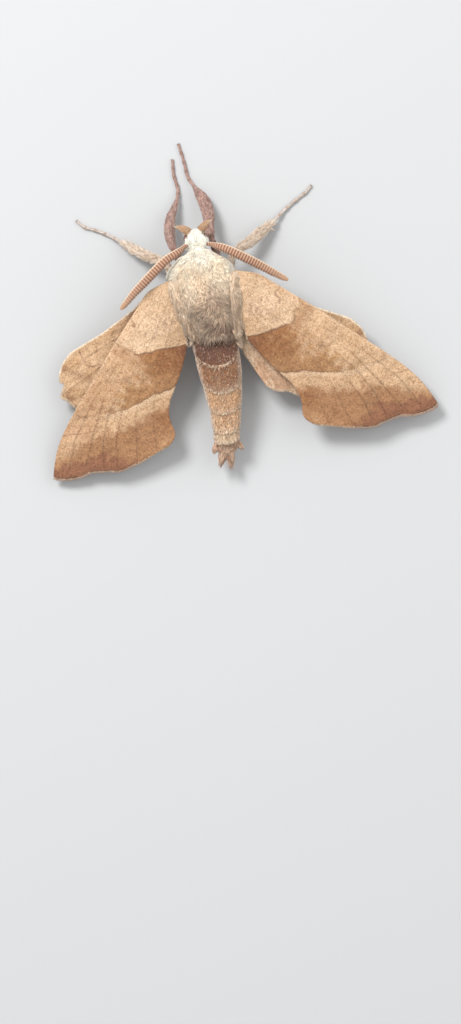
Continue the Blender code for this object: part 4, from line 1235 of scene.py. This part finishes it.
def tail_locks(coat):
    """Locks of long scales that end in ragged points."""
    tail_z = smooth_table(TAIL_Z)
    for k, (root, tip, width) in enumerate(TAIL_TUFTS):
        count = 560
        across = coat.draw.uniform(-0.6, 0.6, count)
        depth = coat.draw.uniform(-0.35, 0.35, count) * (1 - np.abs(across))
        reach = coat.draw.uniform(0.0, 0.55, count)
        short = 0.6 * coat.draw.uniform(0, 1, count)
        line = np.array(tip) - np.array(root)
        normal = unit(np.array([line[1], -line[0]]))
        plan = np.array(root) + line * reach[:, None] + normal * (across * width)[:, None]
        roots = np.column_stack([plan, tail_z(plan[:, 1]) + depth])
        spread = width * (0.3 - 0.22 * (tip[1] < -15)) + 0.6 * short
        ends = np.array(tip) + normal * (across * spread)[:, None] - line * short[:, None]
        ends = np.column_stack([ends, tail_z(ends[:, 1]) + depth * 0.4])
        ways = ends - roots
        spots = strip((k + 0.5 + across * 0.8) / len(TAIL_TUFTS), 0.97)
        colours = painted(count, PINK_TAN, [(BROWN, reach * 0.6)])
        coat.add(roots, UP, unit(ways), spots, colours, 0.93 * np.linalg.norm(ways, axis=1), 0.06,
                 lift=0.0, sway=0.04, vary=0.12, tip=0.95, root_shade=1.0, gain=1.42, stray=0.04,
                 flecks=((BROWN, 0.25, 0.5), (WHITE, 0.2, 0.5)))


# Wings.


class Wing:
    """One wing and its own axes, by which its marks are placed."""

    def __init__(self, kind, side):
        self.kind, self.side, self.sign, self.shape = kind, side, SIDES[side], WINGS[kind]
        self.hinge, self.reach = self.shape["hinge"][side], self.shape["reach"][side]
        turn = math.radians(self.shape["turn"][side])
        self.out = math.cos(turn), math.sin(turn)
        self.across = -self.shape["across"] * math.sin(turn), self.shape["across"] * math.cos(turn)

    def places(self, marks):
        """Plan places of marks."""
        out, across = np.array(marks).T * np.array([[self.reach], [1.0]])
        x = self.hinge[0] + out * self.out[0] + across * self.across[0]
        y = self.hinge[1] + out * self.out[1] + across * self.across[1]
        return np.stack([self.sign * x, y], axis=-1)

    def marks(self, x, y):
        """Marks of plan places, and the same in millimetres."""
        x, y = self.sign * x - self.hinge[0], y - self.hinge[1]
        first = (x * self.out[0] + y * self.out[1]) / self.reach
        second = x * self.across[0] + y * self.across[1]
        return first, second, np.stack([first * self.shape["mark_mm"], second], axis=-1)

    def vein_distances(self, spots):
        """How far spots are from each vein."""
        size = (self.shape["mark_mm"], 1)
        return [distance_to(spots, np.array(vein) * size) for vein in self.shape["veins"]]

    def height(self, x, y):
        """Height over plan places, before any arch."""
        fore = Wing("forewing", self.side)
        reach = np.hypot(np.abs(x) - fore.hinge[0], y - fore.hinge[1])
        return SHOULDER_Z - TIP_DROP[self.side] * (reach / fore.reach) ** DROOP_POWER - self.shape["below"]


def root_line(side, ends, height):
    """The wing's root in plan, a little inside the flank."""
    sign = SIDES[side]
    return [(flank_x(sign, y, height) - sign * WING_ROOT_DEPTH, y) for y in np.linspace(*ends, 5)]


def edge_between(line, key):
    """Reads pairs of (back, share), so that a mark can follow them."""
    pairs = np.array(line)
    return np.interp(key, pairs[:, 0], pairs[:, 1])


def dot(spot, share, back, spread, squeeze=1):
    """A round mark on a forewing."""
    away = (spot - (share * WINGS["forewing"]["mark_mm"], back)) * (squeeze, 1)
    return hump(np.linalg.norm(away, axis=1), 0.0, spread)


def forewing_layers(wing, x, y):
    share, back, spot = wing.marks(x, y)
    wander = ripple(spot, 1.6, 51) * 0.006
    before = edge_between(ANTEMEDIAL[wing.side], back) - share + wander * 0.6
    beyond = share - edge_between(POSTMEDIAL, back) + wander * 0.6
    outer = share - edge_between(OUTER_SHADE, back) + wander * 2
    apex = share - edge_between(APEX_SHADE, back) + wander * 1.5
    middle = fall(before, -0.006, 0.004) * fall(beyond, -0.006, 0.004)
    veins = np.min(wing.vein_distances(spot)[:SHOWN_VEINS], axis=0)
    cloud = ripple(spot, 4.0, 52) * 0.5 + ripple(spot, 1.3, 53) * 0.5
    fine = ripple(spot, 0.7, 54)
    patch = middle * ramp(back + 0.55 * cloud, 0.2, 4.8)
    beyond_band = ramp(beyond, 0.0, 0.008) * fall(beyond, 0.03, 0.055) * ramp(back, 0.5, 4.0)
    costal_line = hump(before, 0.1 + 0.012 * cloud, 0.007) * ramp(fine, -0.8, 0.6)
    return [
        (PALE_BUFF, ramp(before, 0.0, 0.03) * 0.4 * ramp(back, -2.0, -0.5)),
        (TAN, hump(before, 0.075 + 0.01 * cloud, 0.012) * 0.35),
        (TAN, ramp(before, 0.15, 0.22) * 0.25),
        (TAN, ramp(before, 0.005, 0.02) * ramp(back, 1.5, 4.5) * 0.55),
        (TAN, middle * (0.4 + 0.25 * cloud)),
        (OUTER_TAN, middle * hump(before, -0.03, 0.03) * fall(back, 0.0, 1.5) * 0.5),
        (OLIVE_GOLD, middle * ramp(back + cloud, 1.0, 3.6) * 0.5),
        (OLIVE_BROWN, patch * (0.6 + 0.35 * ramp(before, -0.2, -0.08))),
        (OLIVE_BROWN, middle * hump(before, -0.01, 0.035) * ramp(back, 0.0, 2.0) * 0.75),
        (RED_BROWN, middle * ramp(back + 0.6 * cloud, 3.2, 5.6) * hump(before, -0.03, 0.08) * 0.85),
        (TAN, middle * ramp(fine, 0.3, 1.2) * 0.12),
        (PALE_BUFF, beyond_band * ramp(cloud, -0.9, 0.9) * 0.35),
        (TAN, ramp(beyond, 0.02, 0.05) * 0.45),
        (OUTER_TAN, ramp(outer + 0.025 * cloud, -0.06, 0.05) * 0.95),
        (BROWN, hump(outer, 0.01, 0.04) * ramp(back, 1.5, 3.5) * 0.22),
        (OUTER_TAN, COSTAL_SHADE[wing.side] * ramp(share, 0.3, 0.6) * fall(back, 0.5, 2.5)),
        (APEX_BROWN, ramp(apex + 0.01 * cloud, -0.014, 0.022) * 0.85),
        (BUFF, hump(share, 0.81, 0.08) * hump(back, -0.5, 1.3) * 0.5),
        (OLIVE_BROWN, hump(share, 0.515, 0.045) * hump(back, 7.7, 1.2) * 0.6),
        (TAN, hump(share, 0.6, 0.035) * hump(back, 9.3, 0.6) * 0.5),
        (DARK_BROWN, hump(before, 0, 0.0045) * (0.35 + 0.4 * ramp(back, -1, 2))),
        (DARK_BROWN, hump(beyond, 0, 0.005) * (0.3 + 0.4 * ramp(back, 2.5, 4.5))),
        (DARK_BROWN, dot(spot, 0.45, 1.4, 0.45) * 0.4),
        (BROWN, hump(share, 0.79 - 0.03 * (back + 1), 0.005) * fall(back, 1.0, 1.4) * 0.4),
        (GREY, dot(spot, 0.143, 2.0, 0.8, squeeze=0.7) * ramp(fine, -0.9, 0.6) * 0.7),
        (BROWN, costal_line * fall(back, 1.0, 4.0) * 0.6),
        (DARK_BROWN, dot(spot, 0.15, 0.4, 0.5) * ramp(fine, -0.5, 0.5) * 0.6),
        (DARK_BROWN, hump(veins, 0, 0.085) * (0.14 + 0.34 * ramp(share, 0.5, 0.7))),
        (PALE_BUFF, fall(back, -1.98, -1.75) * 0.35),
    ]


def hindwing_layers(wing, x, y):
    away, forward, spot = wing.marks(x, y)
    turn, reach = np.arctan2(-forward, away), np.hypot(away, forward)
    rays = ripple(np.stack([turn * 14, reach * 0.25], axis=-1), 0.9, 61)
    cloud = ripple(spot, 2.4, 62)
    edge = distance_to(spot, wing.shape["termen"])
    fan = ramp(turn, 0.95, 1.25)
    veins = np.min(wing.vein_distances(spot), axis=0)
    return [
        (TAN, 0.35 + ramp(cloud, 0.0, 1.2) * 0.5),
        (PINK_TAN, fan * 0.9),
        (BROWN, fan * ramp(rays, 0.2, 1.2) * 0.18),
        (CREAM, fan * fall(rays, -1.3, -0.4) * 0.4),
        # Painted light that offsets the abdomen's shadow on the fan's root.
        (CREAM, fan * fall(reach, 5.0, 10.0) * 0.6),
        (BROWN, fall(edge, 0.6, 1.5) * ramp(cloud, -0.3, 0.8) * (1 - fan) * 0.55),
        (DARK_BROWN, hump(distance_to(spot, HINDWING_LINE), 0, 0.1) * (0.4 + 0.25 * ramp(cloud, -0.5, 0.5))),
        (BROWN, hump(distance_to(spot, HINDWING_CLOUD), 0, 0.4) * 0.4),
        # Painted shadow of the forewing along the hindwing's costa near its root.
        (BROWN, ramp(forward + 0.62 * away, -0.6, 1.2) * fall(away, 6.0, 9.0) * 0.4),
        (BROWN, hump(veins, 0, 0.09) * 0.3),
        (CREAM, fall(edge, 0.05, 0.3) * 0.4),
        (WHITE, fall(distance_to(spot, wing.shape["costa"]), 0.1, 0.25) * 0.6),
    ]


def paint_wing(wing, x, y, lower=False):
    """Colours of a wing's faces. Lower faces are plainer and pinker than upper ones."""
    layers = forewing_layers if wing.kind == "forewing" else hindwing_layers
    made = painted(len(x), BUFF, layers(wing, x, y))
    lower = np.broadcast_to(lower, len(x))[:, None]
    return np.where(lower, made * 0.35 + linear(UNDERSIDE) * 0.65, made)


def mix(first, second, share):
    return first * (1 - share)[:, None] + second * share[:, None]


def wing_piece(wing):
    """A thin closed sheet between four edges, finely divided, with its veins raised on both faces."""
    shape = wing.shape
    rows, columns = shape["grid"]
    root = root_line(wing.side, shape["root_y"], SHOULDER_Z - shape["below"])
    front = Path([root[0], *wing.places(shape["costa"])])
    back = Path([root[-1], *wing.places(shape["inner"])])
    inboard, outboard = Path(root), Path(wing.places(shape["termen"]))
    along = np.repeat(np.linspace(0, 1, rows), columns)
    across = np.tile(np.linspace(0, 1, columns), rows)
    t = along * (1 - FRINGE_INSET)
    blend = mix(front.at(t), back.at(t), across)
    blend += mix(inboard.at(across), outboard.at(across), t)
    corners = [mix(front.at(end), back.at(end), across) for end in (0.0, 1.0)]
    x, y = (blend - mix(*corners, t)).T
    arch = np.sin(np.pi * (ARCH_AT_ROOT + (1 - ARCH_AT_ROOT) * t))
    height = wing.height(x, y)
    height += shape["arch"] * np.sin(np.pi * across) * arch
    spot = wing.marks(x, y)[2]
    vein = np.max([hump(away, 0, VEIN_SPREAD) for away in wing.vein_distances(spot)], axis=0)
    height += 0.07 * ripple(spot, 3.5, 71) + 0.02 * ripple(spot, 0.9, 72)
    rim = np.minimum.reduce([1 - along, across, 1 - across])
    half = WING_EDGE_HALF_THICKNESS + (WING_HALF_THICKNESS - WING_EDGE_HALF_THICKNESS) * ramp(rim, 0, 0.02)
    half = half + VEIN_HEIGHT * vein * ramp(rim, 0, 0.03)
    top, bottom = (np.column_stack([x, y, height + sign * half]) for sign in (1, -1))
    points = np.vstack([top, bottom])
    grid = grid_faces(rows, columns)
    count = rows * columns
    ids = np.arange(count).reshape(rows, columns)
    loop = np.concatenate([ids[0, :-1], ids[:-1, -1], ids[-1, :0:-1], ids[:0:-1, 0]])
    after = np.roll(loop, -1)
    side_faces = np.column_stack([loop, after, after + count, loop + count])
    faces = np.vstack([grid[:, ::-1], grid + count, side_faces])
    if wing.sign > 0:
        faces = faces[:, ::-1]
    colours = paint_wing(wing, points[:, 0], points[:, 1], np.arange(len(points)) >= count)
    name = f"{wing.kind}_{wing.side}"
    make_piece(f"{name}_scaled", points, faces, colours, WING_SCALES, [name])
    return BVHTree.FromPolygons(top.tolist(), grid.tolist())


def make_wings():
    """Both pairs of wings, and their upper faces by side."""
    return {side: [wing_piece(Wing(kind, side)) for kind in WINGS] for side in SIDES}


def edge_fringe(coat, wing, line, length, pale, row):
    """Short scales that stand out from a wing's edge in its own plane."""
    path = Path(line)
    count = int(np.linalg.norm(np.diff(path.line, axis=0), axis=1).sum() / FRINGE_SPACING)
    shares = (np.arange(count) + coat.draw.uniform(0, 1, count)) / count
    plan, along = path.at(shares), path.direction(shares)
    out = np.stack([-along[:, 1], along[:, 0]], axis=-1) * wing.sign
    x, y = (plan - out * FRINGE_ROOT).T
    roots = np.column_stack([x, y, wing.height(x, y) + coat.draw.uniform(-0.05, 0.05, count)])
    ways = np.column_stack([out + along * 0.25 * coat.draw.normal(size=(count, 1)), np.full(count, -0.12)])
    colours = paint_wing(wing, x, y)
    colours += (linear(CREAM) - colours) * pale
    spots = strip(shares, (row + 0.5) / (2 * len(FRINGES)))
    coat.add(roots, UP, unit(ways), spots, colours, length, 0.1, lift=0.0, sink=0.0, thick=0.25,
             sway=0.1, vary=0.08, root_shade=1.0)


def make_fringes():
    for i, side in enumerate(SIDES):
        coat = Coat(5 + i)
        for row, (kind, edge, turn, length, pale) in enumerate(FRINGES):
            wing = Wing(kind, side)
            edge_fringe(coat, wing, wing.places(wing.shape[edge][::turn]), length, pale, row)
        coat.build(f"wing_fringe_{side}")


# Antennae, eyes and claws.


def make_shaft(side, path, widths):
    """A flattened shaft ringed by its joints."""
    rows = ANTENNA_JOINTS * SHAFT_ROWS_EACH_JOINT + 1
    shares, angles = ring_grid(rows, SHAFT_COLUMNS)
    along = path.direction(shares)
    front = unit(np.cross(along, UP)) * -SIDES[side]
    up = np.cross(front, along) * -SIDES[side]
    joint = np.abs((shares * ANTENNA_JOINTS) % 1 - 0.5) * 2
    rib = fall(joint, 0.35, 0.75)
    half = widths(shares) * (0.94 + 0.06 * rib)
    across, level = np.sin(angles), np.cos(angles)
    points = path.at(shares) + front * (half * (across * SHAFT_SHARE + SHAFT_SHIFT))[:, None]
    points += up * (np.maximum(half * 0.45, 0.09) * level)[:, None]
    layers = [
        (COMB_BROWN, rib * (0.35 + 0.6 * fall(shares, 0.55, 1.0))),
        (COMB_BROWN, fall(across, -0.9, -0.3) * 0.3),
        (CREAM, ramp(across, 0.66, 0.9) * 0.85),
        (ORANGE_TAN, ramp(shares, 0.88, 0.98) * 0.5),
    ]
    ends = []
    for row in (0, rows - 1):
        ring = np.arange(SHAFT_COLUMNS) + row * SHAFT_COLUMNS
        ends += [(ring[i - 1], ring[i], ring[-i - 1], ring[-i]) for i in range(1, SHAFT_COLUMNS // 2)]
    faces = np.vstack([grid_faces(rows, SHAFT_COLUMNS, closed=True), np.array(ends)])
    colours = painted(len(shares), COMB_TAN, layers)
    make_piece(f"antenna_{side}_shaft", points, faces, colours, COMB, [f"antenna_{side}"])


def make_comb(side, path, widths):
    """A branch on each side of every joint, with bristles between; toward is 1 for the front side."""
    coat = Coat(8 + (SIDES[side] > 0))
    for toward, reach in COMB_REACH.items():
        for kind, per_joint, width, colour, size in COMB_HAIRS:
            count = (ANTENNA_JOINTS - 2) * per_joint
            joint = np.repeat(np.arange(1, ANTENNA_JOINTS - 1), per_joint) + 0.5
            if kind == "bristle":
                joint = joint + coat.draw.uniform(-0.5, 0.5, count)
            share = joint / ANTENNA_JOINTS
            way = path.direction(share)
            ahead = unit(np.cross(way, UP)) * -SIDES[side]
            half = widths(share)
            roots = path.at(share) + ahead * (half * (SHAFT_SHIFT + toward * SHAFT_SHARE * 0.8))[:, None]
            roots[:, 2] -= coat.draw.uniform(-0.02, 0.12, count) * (kind == "bristle")
            lean = ahead * toward + way * 0.45 - UP * coat.draw.uniform(0.1, 0.7, (count, 1))
            colours = painted(count, colour, [(ORANGE_TAN, ramp(share, 0.75, 0.95))])
            coat.add(roots, UP, unit(lean), strip(share, 0.3 + 0.2 * toward), colours, half * reach * size,
                     width, lift=-0.06, sink=0.0, hug=0.3, sway=0.1, thick=0.5, vary=0.06)
    coat.build(f"antenna_{side}_comb", COMB)


def make_eye(side, material):
    rows, columns = 33, 48
    polar, around = ring_grid(rows, columns, 0.001, np.pi - 0.001)
    ball = np.stack([np.cos(polar), np.sin(polar) * np.cos(around), np.sin(polar) * np.sin(around)], axis=-1)
    points = ball * EYE_RADII + (HEAD_X + SIDES[side] * EYE_OUT, EYE_Y, EYE_Z)
    colours = np.tile(linear(EYE_COLOUR), (len(points), 1))
    faces = grid_faces(rows, columns, closed=True)[:, ::-1]
    make_piece(f"eye_{side}_ball", points, faces, colours, material, [f"eye_{side}"])


def make_claws():
    """A pair of hooked claws on each foot, and spurs where the mid and hind shins end."""
    coat = Coat(seed=12)
    for leg in LEGS.values():
        toes = Path([leg["shin"][-1], *leg["toes"]])
        end, way = toes.at(0.985), toes.direction(0.98)
        side = np.cross(way, UP)
        ways = unit(np.stack([way + side * 0.7, way - side * 0.7]))
        roots = np.stack([end + side * 0.04, end - side * 0.04]) + UP * 0.05
        coat.add(roots, UP, ways, np.full((2, 2), 0.5), painted(2, DARK_BROWN), 0.22, 0.07,
                 lift=0.0, hug=0.5, sway=0.0, sink=0.0, thick=0.9, vary=0.0)
    for root, tip in np.array(SPURS)[:, :, None]:
        way = tip - root
        coat.add(root, UP, unit(way), np.full((1, 2), 0.5), painted(1, PINK_CREAM), np.linalg.norm(way),
                 0.14, lift=0.0, sway=0.0, sink=0.0, thick=0.8, vary=0.0)
    coat.build("claws", HORN)


def make_stage():
    size = FLOOR_SIZE
    data = bpy.data.meshes.new("floor")
    corners = [(-size, -size, 0), (size, -size, 0), (size, size, 0), (-size, size, 0)]
    data.from_pydata(corners, [], [(0, 1, 2, 3)])
    floor = in_scene("floor", data)
    material, _, _ = new_material("pale_floor", Base_Color=FLOOR_COLOUR, Roughness=0.9)
    data.materials.append(material)

    world = bpy.data.worlds.new("studio")
    world.use_nodes = True
    sky = world.node_tree.nodes["Background"]
    sky.inputs["Color"].default_value = (1, 1, 1, 1)
    sky.inputs["Strength"].default_value = SKY_LIGHT
    bpy.context.scene.world = world
    bpy.context.scene.view_settings.view_transform = "Standard"
    for name, place, size, power in LAMPS:
        light = bpy.data.lights.new(name, "AREA")
        light.size, light.energy = size, power
        lamp = in_scene(name, light)
        lamp.location = place
        aim = -lamp.location
        lamp.rotation_euler = aim.to_track_quat("-Z", "Y").to_euler()


def make_camera():
    data = bpy.data.cameras.new("camera")
    data.sensor_width = SENSOR
    data.lens = SENSOR * (CAMERA_HEIGHT - SUBJECT_Z) / VIEW_HEIGHT
    data.clip_start, data.clip_end = 0.01, 10.0
    camera = in_scene("camera", data)
    camera.location = (CAMERA_AT[0] * MM, CAMERA_AT[1] * MM, CAMERA_HEIGHT * MM)
    camera.rotation_euler = (0, 0, math.radians(CAMERA_ROLL))
    bpy.context.scene.camera = camera


tubes = make_tubes()
make_skin(tubes)
uppers = make_wings()
coat_thorax(tubes["thorax"])
coat_shoulders(tubes["thorax"], tubes["abdomen"], uppers)
coat_abdomen(tubes["abdomen"], tubes["tail"])
coat_head(tubes)
coat_legs(tubes)
make_fringes()
facets = eye_material()
for side in SIDES:
    line, widths = Path(ANTENNA_LINE[side]), smooth_table(ANTENNA_WIDTHS)
    make_shaft(side, line, widths)
    make_comb(side, line, widths)
    make_eye(side, facets)
make_claws()
make_stage()
make_camera()
